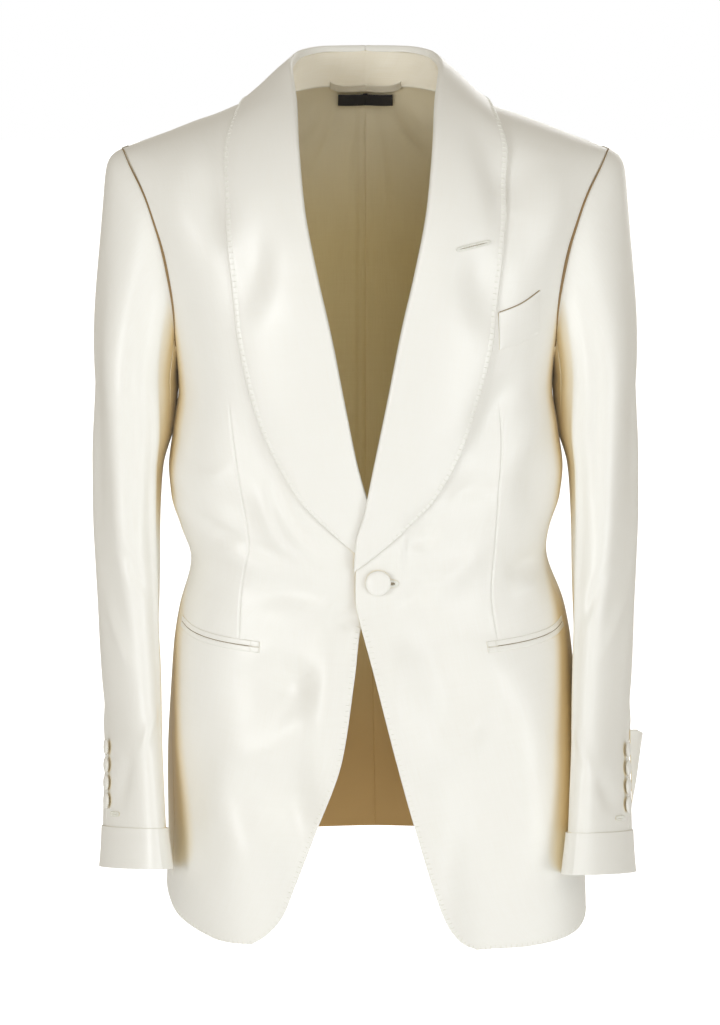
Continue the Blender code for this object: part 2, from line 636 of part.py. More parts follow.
def welt_grid(across=5, up=3):
    at = np.linspace(WELT["x"][0], WELT["x"][-1], across + 1)
    top, bottom = smooth(at, WELT["x"], WELT["top"]), smooth(at, WELT["x"], WELT["bottom"])
    v = np.linspace(0, 1, up + 1)[:, None]
    angle, rise = place(at + 0 * v, top * (1 - v) + bottom * v)
    return lifted(angle, rise, front_out(angle, rise, 1, TRIM_LIFT + CLOTH + 0 * rise))


def build_buttons():
    angle, rise = place(FRONT_BUTTON["x"], FRONT_BUTTON["z"])
    at = lifted(angle, rise, front_out(angle, rise, 1, TRIM_LIFT))
    button("front_button", at, outward(angle, rise), FRONT_BUTTON_RADIUS, FRONT_BUTTON_HEIGHT)
    turn = np.array(float(SLEEVE_BUTTON_TURN))
    for hand, name in ((1, "left"), (-1, "right")):
        for number, z in enumerate(SLEEVE_BUTTON_Z, 1):
            level_z = np.array(z * MM)
            at = sleeve_ring(turn, level_z, hand, TRIM_LIFT)
            facing = sleeve_ring(turn, level_z, hand, 4 * TRIM_LIFT) - at
            label = f"sleeve_button_{name}_{number}"
            button(label, at, facing, SLEEVE_BUTTON_RADIUS, SLEEVE_BUTTON_HEIGHT)


def build_vent_flap():
    """The underlap of the left sleeve's vent, which stands out behind the buttons."""
    z = np.linspace(VENT_FLAP["z"][0], VENT_FLAP["z"][-1], 7) * MM
    turn = sleeve_level(z, "back_seam") + VENT_FLAP_TURN
    width = smooth(-z / MM, -np.array(VENT_FLAP["z"], float), VENT_FLAP["width"]) * MM
    root = sleeve_ring(turn, z, 1, TRIM_LIFT)
    sideways = np.array([1, 0, 0]) * width[:, None]
    points = np.stack([root + share * sideways for share in (0, 0.5, 1)], axis=1)
    cloth("vent_flap_left", points, away_from=(0.2, 2, -0.6))


def build_inside():
    """What shows inside the back: the lining, the hanger loop and the bare label."""
    for hand, name in ((1, "left"), (-1, "right")):
        angle, rise = (grid[:, :7] for grid in back_panel(hand))
        points = lifted(angle, rise, -CLOTH - LINING_GAP)
        points[0] += (points[1] - points[0]) * LINING_ABOVE_HEM
        cloth(f"back_lining_{name}", drawn_in(points, LINING_MARGIN), LINING_CLOTH, LINING)
    for name, table, finish in (("hanger_loop", HANGER_LOOP, SATIN), ("neck_label", NECK_LABEL, LABEL)):
        x = np.linspace(-1, 1, 7)[None, :] * table["half_width"]
        z = np.linspace(table["top"], table["bottom"], 2)[:, None]
        angle, rise = place(x + 0 * z, z + 0 * x, 1, -1)
        inside = -CLOTH - LINING_GAP - LINING_CLOTH - INSIDE_TRIM_LIFT
        cloth(name, lifted(angle, rise, inside + 0 * rise), LINING_CLOTH, finish)


def main():
    for old in list(bpy.data.objects):
        bpy.data.objects.remove(old)
    bpy.context.scene.collection.children.link(bpy.data.collections.new("dinner_jacket"))
    build_fronts_and_back()
    build_collar()
    build_sleeves()
    build_pockets()
    build_buttons()
    build_vent_flap()
    build_inside()


main()
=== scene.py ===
"""An ivory satin dinner jacket with a shawl collar, filled out as worn, its one button done up.

Every face of cloth is a function of two parameters: a point of the form has an angle round the body
(0 at the centre front, positive to the wearer's left, 180 at the centre back) and a rise along the
cloth (0 at the chest line, negative down to the hem). A seam is a short table of such points, a
panel is blended between four seams, and folds, grooves and rolled edges move it in and out. Tables
are in millimetres and degrees, objects in metres.
"""

import math

import bpy
import numpy as np
from bpy.props import FloatProperty, FloatVectorProperty, PointerProperty
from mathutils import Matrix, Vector


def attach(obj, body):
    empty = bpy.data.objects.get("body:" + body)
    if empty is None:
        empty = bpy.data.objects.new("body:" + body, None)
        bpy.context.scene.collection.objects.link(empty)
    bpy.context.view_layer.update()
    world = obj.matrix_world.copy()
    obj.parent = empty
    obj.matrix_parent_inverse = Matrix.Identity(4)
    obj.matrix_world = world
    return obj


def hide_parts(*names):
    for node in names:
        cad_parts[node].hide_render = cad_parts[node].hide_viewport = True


bl_info = {
    "name": "Shawl Collar Dinner Jacket",
    "version": (1, 0, 0),
    "blender": (4, 5, 0),
    "location": "View3D > Sidebar > Jacket",
    "description": "Builds the satin, the seams, the stitching and the stage of a dinner jacket",
    "category": "Object",
}

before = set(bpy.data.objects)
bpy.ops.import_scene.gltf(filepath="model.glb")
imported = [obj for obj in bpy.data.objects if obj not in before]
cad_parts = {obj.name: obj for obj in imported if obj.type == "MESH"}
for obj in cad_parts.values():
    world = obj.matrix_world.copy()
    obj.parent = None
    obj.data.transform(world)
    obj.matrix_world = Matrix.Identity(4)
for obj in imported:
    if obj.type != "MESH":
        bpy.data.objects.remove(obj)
MM = 0.001
BODY = "root"
HANDS = ((1, "left"), (-1, "right"))

# Finishes and the slots that they belong to
SATIN, FACING = "ivory_satin_cloth", "ivory_satin_facing"
IVORY, CREAM = "ivory_satin", "cream_lining"

# Cloth and gaps, as in the cutting of the panels
CLOTH = 1.6 * MM
SHAWL_CLOTH = 2.0 * MM
LINING_CLOTH = 1.2 * MM
LIE_GAP = 1.2 * MM
TRIM_LIFT = 1.6 * MM
LINING_GAP = 3.5 * MM
SEAM_INSET = 0.12 * MM
INSIDE = (0, 0, -0.35)  # a point that the jacket's faces turn away from
INSIDE_COLLAR = (0, -0.02, 0.02)

# The form
CHEST_Z = -200 * MM
ARCH = 250 * MM
ROUND_PLAN = 2.6
ROUND_ARCH = 2.2
RIDGE_AT_NECK_Z = 34 * MM
RIDGE_SLOPE = 0.37
SHOULDER_SEAM = 0.25 * MM
METRES_PER_DEGREE = 2.6 * MM
FACES_SIDEWAYS = 0.35  # how far front or back the cloth still faces where its folds start to fade
BACK_FOLD_SHARE = 0.7
FOLD_WIDTH_SHARE = 0.85
FLUTE_HEIGHT = 2.0 * MM
SIDE_FULLNESS = 2.2 * MM
RIPPLE_HEIGHT = 0.35 * MM

LEVELS = {
    "rise": [-580, -520, -400, -304, -266, -218, -190, -162, -135, -100, -62, 0, 50, 110, 160, 250],
    "half_width": [
        200, 199, 195, 185, 178, 165, 171, 179, 181, 175.5, 169, 176, 190, 213, 229, 252,
    ],
    "front": [140, 139, 136, 132, 128, 124, 126, 129, 132, 136, 140, 141, 141, 140, 140, 140],
    "back": [130, 130, 128, 122, 116, 112, 114, 118, 121, 125, 129, 130, 128, 122, 120, 118],
    "lean": [10, 10, 8, 7, 6, 3, 0, 0, 0, 0, 0, 0, 0, 0, 0, 0],
    "centre": [-4, -4, -3, -2, 0, 0, 0, 0, 0, 0, 0, 0, 2, 4, 6, 8],
}

# Seams, as x out from the centre and z
ROLL_LINE_LEFT = {
    "x": [-9, -9, -7, 0, 8, 20, 33, 45, 55, 60],
    "z": [-442, -411, -385, -361, -322, -265, -200, -147, -95, -45],
}
ROLL_LINE_RIGHT = {
    "x": [-23, -24, -14, -3, 8, 20, 33, 45, 55, 60],
    "z": [-436, -418, -390, -357, -322, -265, -200, -147, -95, -45],
}
CUTAWAY_LEFT = {
    "x": [102, 88, 74, 62, 45, 26, 9, -5],
    "z": [-762, -754, -736, -706, -650, -580, -512, -460],
}
CUTAWAY_RIGHT = {
    "x": [101, 88, 75, 64, 44, 20, 9, 4],
    "z": [-755, -746, -730, -702, -648, -581, -506, -466],
}
NECK_FRONT = {"x": [60, 70, 79, 84], "z": [-45, -26, -8, 3]}
NECK_BACK = {"x": [0, 34, 62, 84], "z": [12, 12, 10, 3]}
SHOULDER_X = (84, 120, 170, 222)
ARMHOLE_FRONT = {
    "x": [222, 208, 194, 184, 177, 172, 170, 170],
    "z": [-48, -66, -92, -120, -147, -175, -200, -216],
}
ARMHOLE_BACK = {"x": [222, 211, 200, 188, 176, 163], "z": [-48, -68, -96, -128, -160, -190]}
UNDERARM = {"angle": [74, 82, 92, 102, 112, 120], "rise": [-26, -36, -40, -38, -30, -18]}
SIDE_FRONT_ANGLE = 74
SIDE_BACK_ANGLE = 120
HEM = {
    "angle": [20, 45, 60, 75, 90, 120, 150, 180],
    "rise": [-561, -557, -553, -547, -538, -528, -524, -522],
}
HEM_LEFT_DROP = 7 * MM
FRONT_DART = {  # stitched darts, as x out from the centre and z
    "z": [-482, -474, -437, -397, -338, -288, -262],
    "left_x": [118, 117, 112, 115, 118, 120, 120],
    "right_x": [114, 113, 111, 104, 111, 118, 120],
}

# The shawl collar: its outer edge, its foot on the form and the roll round the neck
SHAWL_EDGE = {
    "x": [8, 30, 60, 84, 97, 113, 119, 124, 125, 118, 109, 88, 52, 0],
    "z": [-398, -379, -348, -306, -270, -195, -140, -90, -50, -22, -6.3, -7, -8, -8],
    "side": [1, 1, 1, 1, 1, 1, 1, 1, 1, 1, 1, -1, -1, -1],
}
SHAWL_FOOT = {
    "x": [60, 70, 84, 70, 40, 0],
    "z": [-45, -26, 3, 9, 12, 12],
    "side": [1, 1, 1, -1, -1, -1],
}
NECK_ROLL = {
    "x": [60, 64, 68, 62, 38, 0],
    "y": [-86, -56, -12, 26, 50, 58],
    "z": [-45, -5, 23, 34, 40, 42],
}
SHAWL_ROLL_LIFT = 4 * MM
SHAWL_TUCK = 0.4 * CLOTH  # how deep in the front's cloth the collar starts
SHAWL_FLAT_ROWS = 5
LAP = 6.8 * MM
LAP_REACH = (30 * MM, 95 * MM)
LAP_HEIGHTS = (-640 * MM, -500 * MM, -340 * MM, -220 * MM)

# Sleeves, a row for each level below the underarm
SLEEVE = {
    "z": [-262, -300, -335, -400, -466, -530, -577, -640, -699],
    "out": [211.5, 214.5, 219, 221, 221, 219, 216.5, 215.5, 213.5],
    "depth_right": [4, 5, 5, 2, -5, -17, -28, -44, -60],
    "depth_left": [4, 5, 4, -3, -19, -41, -58, -80, -101],
    "narrow": [37, 35.5, 31.5, 29, 26, 23.5, 21.5, 22, 23],
    "long": [83, 80, 77, 73, 68.5, 64, 61, 58, 55],
    "twist": [3, 6, 9, 11, 15, 18, 19, 25, 30],
    "tilt": [0, 0, 0, 0.04, 0.1, 0.16, 0.2, 0.25, 0.28],
    "front_seam": [-56, -58, -60, -62, -64, -66, -68, -70, -70],
    "back_seam": [150, 147, 144, 138, 130, 120, 112, 106, 104],
}
SLEEVE_PARTS = {"top_sleeve": ("_head", "_arm", "_forearm"), "under_sleeve": ("",)}
SLEEVE_HEAD_ROPE = 14 * MM
SLEEVE_HEAD_TURN = 0.03
SLEEVE_SET_GAP = 0.25 * MM
SLEEVE_FULLNESS = 2.6 * MM
SLEEVE_FOLD_SHARE = 0.75
SLEEVE_MEAN_RADIUS = 52
SLEEVE_PANEL_WIDTH = 0.14
RIGHT_SLEEVE_DROP = 8 * MM
CUFF_HEIGHT = 36 * MM
CUFF_STAND = 0.4 * MM
CUFF_CLOTH = 1.0 * MM
CUFF_FLARE = 2.2 * MM

# Pockets, buttons and what shows inside the neck
WELT = {"x": [117, 135, 153.5], "top": [-186, -179.4, -168], "bottom": [-218.5, -214, -206]}
WELT_WIDTH = 36 * MM
HIP_POCKET = {"angle": [31.5, 45, 58, 68.5], "rise": [-284, -282, -279, -275]}
JET = 5 * MM
MOUTH = 0.2 * MM  # half the gap between the two jets
JET_CLOTH, WELT_CLOTH = 0.6 * MM, 0.7 * MM
FRONT_BUTTON = {"x": 11, "z": -423}
FRONT_BUTTON_RADIUS = 11.2 * MM
FRONT_BUTTON_HEIGHT = 5.2 * MM
SLEEVE_BUTTON_RADIUS = 7.6 * MM
SLEEVE_BUTTON_HEIGHT = 3.8 * MM
SLEEVE_BUTTON_Z = (-593, -608.8, -624.6, -640.4)
SLEEVE_BUTTON_TURN = 96
SLEEVE_HOLE_TURN, SLEEVE_HOLE_Z = 80, -651.5
VENT_UNDERLAP = {"top": -577, "bottom": -640, "width": 13}
HANGER_LOOP = {"half_width": 35, "top": 20, "bottom": 12.5}
NECK_LABEL = {"half_width": 28, "top": 8.5, "bottom": -3}
HANGER_LOOP_LIFT = 6.5
NECK_LABEL_LIFT = 5.2

# Folds of the worn cloth: a soft ridge (height above 0) or trough from one end to the other, bowed
# sideways, wider on one side than on the other by its lean. Right is the wearer's right, x below 0
FRONT_FOLDS = {
    "x0": [-90, -81, -112, -164, -102, -150, -158, -86, -61, -118, -66, -140, -20, 60, 113, 127,
           134, 38, 29, 34, 32, 73, 150, 60, 118, -30, -143, -160, 144, 164, 100, -96, 20, 150, 96,
           -131, 98, 132, 152, -107, -166],
    "z0": [-330, -334, -361, -370, -439, -332, -395, -495, -540, -625, -640, -560, -470, -370, -341,
           -416, -439, -421, -437, -374, -445, -555, -520, -600, -640, -462, -66, -61, -52, -61,
           -120, -100, -470, -300, -480, -20, -25, -240, -262, -280, -345],
    "x1": [-57, -30, -59, -21, -39, -119, -110, -61, -102, -45, -120, -160, -44, 37, 73, 159, 159,
           100, 60, 32, 73, 104, 158, 44, 150, -10, -126, -150, 130, 152, 112, -108, 34, 160, 128,
           -128, 126, 100, 128, -68, -10],
    "z1": [-400, -411, -407, -418, -437, -327, -380, -540, -587, -619, -700, -690, -640, -389, -350,
           -411, -437, -402, -448, -412, -555, -571, -700, -700, -720, -441, -120, -140, -90, -150,
           -200, -190, -640, -380, -560, -120, -130, -310, -335, -360, -412],
    "bow": [8, 12, 9, 16, -9, 3, 4, -8, -10, 4, 6, 5, 8, -6, 5, 3, -3, 8, -6, 0, -10, -6, 6, 4, -8,
           4, -7, 5, 6, -4, 4, -4, 6, 5, -7, 4, -5, 5, -4, 4, 10],
    "width": [11, 13, 14, 15, 20, 10, 12, 26, 24, 30, 34, 30, 26, 15, 12, 13, 12, 18, 20, 3.2, 30,
           22, 26, 28, 32, 12, 24, 20, 22, 18, 26, 24, 24, 20, 26, 16, 20, 16, 18, 16, 12],
    "height": [1.6, -1.9, -1.5, 1.5, -1.9, 0.9, -0.9, -2.2, 1.6, -2.1, 2, -1.8, 2.2, -1.8, -1, -1.4,
           1.2, 1.4, -1.6, 0.7, -2.6, 1.7, 1.7, -1.7, 1.8, -1.3, -1, 0.9, -1.1, 1, -2, -1.8, 2.2,
           -1.3, 1.5, -1.8, -2, -1.8, 1.4, -1.6, 1.3],
    "lean": [0.2, -0.2, 0.1, 0.2, 0, 0.1, -0.1, 0.2, -0.2, 0.1, 0, 0.1, -0.2, 0.3, 0, 0.1, -0.1,
           0.2, 0, 0.4, 0.2, -0.1, 0, 0.1, 0, 0, 0.1, 0, -0.1, 0, 0, 0.1, 0.2, 0, -0.1, 0.1, -0.1,
           0.1, 0, 0.1, -0.2],
}
BACK_FOLDS = {
    "x0": [-150, 150, -60, 70, -40, 50, -120, 125, -20, 30, -150, 148, -90, 92, -30],
    "z0": [-60, -64, -330, -322, -420, -432, -400, -410, -560, -600, -180, -186, -470, -480, -20],
    "x1": [-95, 98, -140, 148, -120, 122, -150, 152, -60, 66, -120, 116, -110, 118, 34],
    "z1": [-170, -186, -372, -360, -446, -452, -520, -530, -700, -715, -300, -310, -640, -655, -28],
    "bow": [12, -10, 8, -9, 6, -7, 5, -6, 8, -7, -6, 7, 9, -8, 5],
    "width": [22, 24, 14, 15, 12, 13, 18, 20, 26, 28, 24, 22, 30, 28, 11],
    "height": [-2.2, -1.9, -1.8, -1.6, 1.7, 1.5, -1.4, -1.6, 2.2, 2.4, 1.8, 1.6, -2.0, -2.2, -1.2],
    "lean": [0.1, -0.1, 0.2, -0.2, 0.1, 0, 0, 0.1, -0.2, 0.2, 0, 0.1, -0.1, 0.1, 0],
}
# Folds of the sleeves, as turns round the sleeve (0 front, 90 outward, 180 back) and z
SLEEVE_FOLDS_LEFT = {
    "turn0": [-30, -6, 28, 60, 96, 140, 200, 250, 20, 70, 170, -20, 40, 120],
    "z0": [-190, -150, -170, -120, -200, -150, -240, -260, -420, -440, -430, -560, -600, -560],
    "turn1": [-34, 6, 16, 74, 80, 120, 215, 236, -14, 30, 200, 16, 70, 160],
    "z1": [-655, -380, -520, -400, -560, -420, -560, -600, -470, -500, -470, -600, -640, -610],
    "width": [5, 12, 15, 18, 16, 18, 20, 18, 9, 10, 10, 9, 10, 12],
    "height": [1.5, -1.5, 1.3, -1.2, 1.3, -1.6, 1.6, -1.4, -1.3, 1.1, 1.5, 1.0, -1.1, 1.2],
}
SLEEVE_FOLDS_RIGHT = {
    "turn0": [-30, 0, 34, 64, 100, 150, 205, 255, 26, 66, 176, -16, 46, 126],
    "z0": [-200, -160, -150, -140, -190, -140, -230, -270, -400, -450, -420, -550, -590, -570],
    "turn1": [-36, 10, 22, 78, 84, 126, 220, 240, -10, 34, 205, 20, 74, 156],
    "z1": [-640, -400, -500, -420, -540, -430, -540, -590, -446, -516, -456, -592, -650, -620],
    "width": [5, 13, 14, 17, 17, 18, 19, 18, 9, 11, 10, 9, 11, 12],
    "height": [1.5, -1.4, 1.4, -1.3, 1.2, -1.5, 1.7, -1.4, -1.2, 1.1, 1.4, 1.1, -1.0, 1.1],
}
LINING_FOLDS = {
    "x0": [-10, 12, 26, 44, -30, -46, 0, 20, -24, 60, -64, 5],
    "z0": [-16, -22, -10, -4, -12, -6, -60, -90, -110, -80, -90, -200],
    "x1": [-16, 20, 64, 72, -52, -70, 14, 34, -40, 84, -88, 12],
    "z1": [-90, -120, -60, -30, -70, -40, -260, -330, -350, -300, -310, -460],
    "bow": [2, -3, 5, 4, -4, -4, 5, -6, 5, 6, -6, 4],
    "width": [5, 6, 7, 6, 7, 6, 10, 14, 13, 18, 17, 14],
    "height": [-1.6, -2.0, -2.4, 1.8, -2.0, 1.4, -1.7, 1.5, -1.4, -1.6, -1.6, 1.3],
    "lean": [0.2, 0.3, 0.3, 0, -0.2, 0, 0.1, 0, 0, 0.1, 0, 0],
}


# ---------------------------------------------------------------- curves and the form


def smooth(at, x, y):
    """A curve through (x, y) that never overshoots: cubic pieces whose slope at a point is the
    harmonic mean of the slopes beside it, or 0 where they change sign."""
    x, y = np.asarray(x, float), np.asarray(y, float)
    step = np.diff(x)
    rise = np.diff(y) / step
    slope = np.zeros_like(y)
    same = rise[:-1] * rise[1:] > 0
    sides = np.abs(rise[:-1]) + np.abs(rise[1:])
    slope[1:-1][same] = (2 * rise[:-1] * rise[1:])[same] / (np.sign(rise[:-1]) * sides)[same]
    slope[0], slope[-1] = rise[0], rise[-1]
    at = np.clip(at, x[0], x[-1])
    i = np.clip(np.searchsorted(x, at, side="right") - 1, 0, len(x) - 2)
    t = (at - x[i]) / step[i]
    return (
        y[i] * (1 + 2 * t) * (1 - t) ** 2
        + y[i + 1] * t**2 * (3 - 2 * t)
        + step[i] * (slope[i] * t * (1 - t) ** 2 - slope[i + 1] * t**2 * (1 - t))
    )


def eased(t):
    """0 below 0, 1 above 1, and the cubic 3t^2 - 2t^3 between."""
    t = np.clip(t, 0, 1)
    return t * t * (3 - 2 * t)


def bell(at, width, centre=0):
    """exp(-s^2), where s is the distance from the centre over the width."""
    return np.exp(-(((at - centre) / width) ** 2))


def unit(vectors):
    """The vectors at length 1."""
    return vectors / np.clip(np.linalg.norm(vectors, axis=-1, keepdims=True), 1e-12, None)


def level(rise, column):
    """One of the form's measures at a rise."""
    return smooth(rise / MM, LEVELS["rise"], LEVELS[column]) * MM


def superellipse(angle, power):
    """Sine and cosine of the angle over the power norm of the two: a rounded square's factors."""
    s, c = np.sin(angle), np.cos(angle)
    size = (np.abs(s) ** power + np.abs(c) ** power) ** (1 / power)
    return s / size, c / size


def ridge(x):
    """Height of the shoulder line, which falls evenly out from the neck."""
    return RIDGE_AT_NECK_Z - RIDGE_SLOPE * np.abs(x)


def form(angle, rise):
    """Points of the outer face: below the chest line each level is a superellipse of its half width
    and depth; above it the depth shrinks along a superellipse arch up to the shoulder line."""
    across, forward = superellipse(np.radians(angle), ROUND_PLAN)
    up, deep = superellipse(np.clip(rise / ARCH, 0, 1) * math.pi / 2, ROUND_ARCH)
    x = level(rise, "lean") + level(rise, "half_width") * across
    depth = np.where(forward > 0, level(rise, "front"), level(rise, "back"))
    y = level(rise, "centre") - depth * forward * deep
    z = np.where(rise > 0, CHEST_Z + (ridge(x) - CHEST_Z) * up, CHEST_Z + rise)
    return np.stack(np.broadcast_arrays(x, y, z), axis=-1)


def outward(angle, rise):
    """Unit normals of the form: the cross product of its steps round and up the body."""
    step_angle, step_rise = 0.3, 0.4 * MM
    middle = np.minimum(rise, ARCH - 2 * step_rise)
    round_body = form(angle + step_angle, rise) - form(angle - step_angle, rise)
    up_body = form(angle, middle + step_rise) - form(angle, middle - step_rise)
    return unit(np.cross(round_body, up_body))


def place(x, z, hand=1, side=1):
    """Angle and rise of the form's point at x out from the centre and z, in millimetres: the level
    and arch formulas of the form turned round."""
    x, z, side = np.broadcast_arrays(np.asarray(x, float) * MM, np.asarray(z, float) * MM, side)
    up = np.clip((z - CHEST_Z) / (ridge(x) - CHEST_Z), 0, 1)
    arch = np.arctan2(up, (1 - up**ROUND_ARCH) ** (1 / ROUND_ARCH)) / (math.pi / 2) * ARCH
    arch = np.minimum(arch, ARCH - SHOULDER_SEAM)
    rise = np.where(z > CHEST_Z, arch, z - CHEST_Z)
    across = (hand * x - level(rise, "lean")) / level(rise, "half_width")
    forward = (1 - np.clip(np.abs(across), 0, 1) ** ROUND_PLAN) ** (1 / ROUND_PLAN)
    return np.degrees(np.arctan2(across, side * forward)), rise


def fold_height(x, z, folds):
    """Sum over the folds of height * exp(-(s / width)^2), faded at both ends: s is the distance
    from the fold's line, which bows sideways as a parabola, and width differs by side."""
    x, z = x[..., None] / MM, z[..., None] / MM
    x0, z0, x1, z1, bow, width, height, lean = np.array(list(folds.values()), float)
    length = np.hypot(x1 - x0, z1 - z0)
    along_x, along_z = (x1 - x0) / length, (z1 - z0) / length
    t = ((x - x0) * along_x + (z - z0) * along_z) / length
    inside = np.clip(t, 0, 1)
    s = (x - x0) * along_z - (z - z0) * along_x - bow * 4 * inside * (1 - inside)
    wide = FOLD_WIDTH_SHARE * width * (1 + lean * np.sign(s))
    fade = eased((t + 0.25) / 0.75) * eased((1.25 - t) / 0.75)
    return np.sum(height * bell(s, wide) * fade, axis=-1) * MM


def ripple(a, b, size):
    """Soft unevenness that never repeats: three crossed sines of unlike lengths."""
    waves = ((1.0, 0.31, 0.4), (-0.43, 1.27, 1.9), (1.73, -0.79, 0.7))
    return size * sum(np.sin(p * a + q * b + r * 3.1) for p, q, r in waves) / 3


def folds_on_form(angle, rise):
    """How far the folds move the form's point out: front folds on the front, back folds on the
    back, both fading to the sides; flutes that fall down the front's skirt; a ripple all over; and
    a soft fullness under the arms, from the armhole to the waist."""
    at = form(angle, rise)
    x, z = at[..., 0], at[..., 2]
    facing = np.cos(np.radians(angle))
    height = fold_height(x, z, FRONT_FOLDS) * eased(facing / FACES_SIDEWAYS)
    back = fold_height(x, z, BACK_FOLDS) * eased(-facing / FACES_SIDEWAYS)
    wave = x / (15 * MM) + 0.9 * np.sin(x / (41 * MM)) + 0.5 + z / (190 * MM)
    fall = eased((-z / MM - 430) / 260) * eased((facing + 0.1) / 0.4)
    under_arm = bell(np.abs(angle), 26, 90)
    under_arm = under_arm * eased((-z / MM - 120) / 60) * eased((330 + z / MM) / 50)
    uneven = ripple(angle / 9, rise / (26 * MM), RIPPLE_HEIGHT)
    height = height + BACK_FOLD_SHARE * back + FLUTE_HEIGHT * fall * np.sin(wave) + uneven
    return bpy.context.scene.jacket_cloth.fold_size * height + SIDE_FULLNESS * under_arm


def draped(angle, rise, out):
    """Points of the form moved out along its normal by a layer's height and the folds."""
    angle, rise, out = np.broadcast_arrays(angle, rise, out)
    return form(angle, rise) + outward(angle, rise) * (out + folds_on_form(angle, rise))[..., None]


# ---------------------------------------------------------------- seams and panels


def joined(*pieces):
    """One seam from several, leaving out a point that repeats the last."""
    angle = np.concatenate([np.atleast_1d(p[0]) for p in pieces])
    rise = np.concatenate([np.atleast_1d(p[1]) for p in pieces])
    steps = np.hypot(np.diff(angle) * METRES_PER_DEGREE, np.diff(rise))
    keep = np.concatenate([[True], steps > 0.5 * MM])
    return angle[keep], rise[keep]


def along(seam, fractions):
    """Points at fractions of a seam's length, on smooth curves through its own."""
    angle, rise = seam
    steps = np.hypot(np.diff(angle) * METRES_PER_DEGREE, np.diff(rise))
    length = np.concatenate([[0], np.cumsum(steps)])
    at = fractions * length[-1]
    return np.stack([smooth(at, length, angle), smooth(at, length, rise)], axis=-1)


def blended(inner, outer, bottom, top, u, v):
    """The patch between four seams at (u, v): the blend of the side seams, plus that of the bottom
    and top ones, less that of the four corners."""
    left, right, low, high = along(inner, v), along(outer, v), along(bottom, u), along(top, u)
    ends = [along(inner, np.array([0.0, 1.0])), along(outer, np.array([0.0, 1.0]))]
    u, v = u[..., None], v[..., None]
    corners = (1 - v) * ((1 - u) * ends[0][0] + u * ends[1][0])
    corners = corners + v * ((1 - u) * ends[0][1] + u * ends[1][1])
    grid = (1 - u) * left + u * right + (1 - v) * low + v * high - corners
    return grid[..., 0], grid[..., 1]


def reversed_seam(seam):
    """The same seam from its other end."""
    return seam[0][::-1], seam[1][::-1]


def hem(first, last, hand, drop=0.0):
    """The hem between two angles, lower by a drop that fades to nothing at the centre back."""
    angle = np.linspace(first, last, 9)
    return hand * angle, smooth(angle, HEM["angle"], HEM["rise"]) * MM - drop * (180 - angle) / 180


def armhole(which, hand):
    """The armhole's front or back half, from the underarm up to the shoulder."""
    table, side = (ARMHOLE_FRONT, 1) if which == "front" else (ARMHOLE_BACK, -1)
    edge_angle = SIDE_FRONT_ANGLE if which == "front" else SIDE_BACK_ANGLE
    start = hand * edge_angle, smooth(edge_angle, UNDERARM["angle"], UNDERARM["rise"]) * MM
    return joined(start, reversed_seam(place(table["x"], table["z"], hand, side)))


def shoulder(hand, side):
    """The shoulder seam, out from the neck along the ridge."""
    x = np.array(SHOULDER_X, float)
    return place(x, ridge(x * MM) / MM, hand, side)


def lap(x, z):
    """How far the left front stands out over the right one: eased out sideways, up and down."""
    near, far = LAP_REACH
    sideways = 1 - np.clip((x - near) / (far - near), 0, 1)
    bottom, low, high, top = LAP_HEIGHTS
    upward = np.clip((z - bottom) / (low - bottom), 0, 1) * np.clip((top - z) / (top - high), 0, 1)
    return LAP * eased(sideways * upward)


def front_out(angle, rise, hand, out=0.0):
    """A layer's height over the form, with the left front's lap added."""
    if hand < 0:
        return out + 0 * rise
    at = form(angle, rise)
    return out + lap(at[..., 0], at[..., 2])


def front_seams(hand):
    """A front's seams: the cutaway, roll line and neck; the side and armhole; the hem; the
    shoulder."""
    if hand > 0:
        roll, cut, drop = ROLL_LINE_LEFT, CUTAWAY_LEFT, HEM_LEFT_DROP
    else:
        roll, cut, drop = ROLL_LINE_RIGHT, CUTAWAY_RIGHT, 0
    inner = joined(
        place(cut["x"], cut["z"], hand),
        place(roll["x"], roll["z"], hand),
        place(NECK_FRONT["x"], NECK_FRONT["z"], hand),
    )
    hem_end = hem(SIDE_FRONT_ANGLE, SIDE_FRONT_ANGLE, hand, drop)
    outer = joined((hem_end[0][:1], hem_end[1][:1]), armhole("front", hand))
    tip_angle = abs(float(inner[0][0]))
    bottom = hem(tip_angle, SIDE_FRONT_ANGLE, hand, drop)
    bottom = joined((inner[0][:1], inner[1][:1]), (bottom[0][2:], bottom[1][2:]))
    return inner, outer, bottom, shoulder(hand, 1)


def back_seams(hand):
    """A back's seams: the centre; the side and armhole; the hem; the neck and shoulder."""
    top_z = NECK_BACK["z"][0]
    neck = place(NECK_BACK["x"], NECK_BACK["z"], hand, -1)
    centre_top = place(0, top_z, hand, -1)
    neck = joined((hand * 180, centre_top[1]), (neck[0][1:], neck[1][1:]), shoulder(hand, -1))
    bottom = reversed_seam(hem(SIDE_BACK_ANGLE, 180, hand))
    centre_rise = bottom[1][0], -0.35, -0.1, centre_top[1]
    inner = joined(*((hand * 180, rise) for rise in centre_rise))
    outer = joined((hand * SIDE_BACK_ANGLE, bottom[1][-1]), armhole("back", hand))
    return inner, outer, bottom, neck


def side_seams(hand):
    """A side panel's seams: front, back, hem and underarm."""
    bottom = hem(SIDE_FRONT_ANGLE, SIDE_BACK_ANGLE, hand)
    top = hand * np.array(UNDERARM["angle"], float), np.array(UNDERARM["rise"]) * MM
    inner = joined((bottom[0][0], bottom[1][0]), (top[0][0], top[1][0]))
    outer = joined((bottom[0][-1], bottom[1][-1]), (top[0][-1], top[1][-1]))
    return inner, outer, bottom, top


def edge_steps(width):
    """Fractions of a width at which a cloth's rolled edge takes its points."""
    return np.array([0, 0.12, 0.35, 0.7, 1.2, 2.0, 3.2]) * MM / width


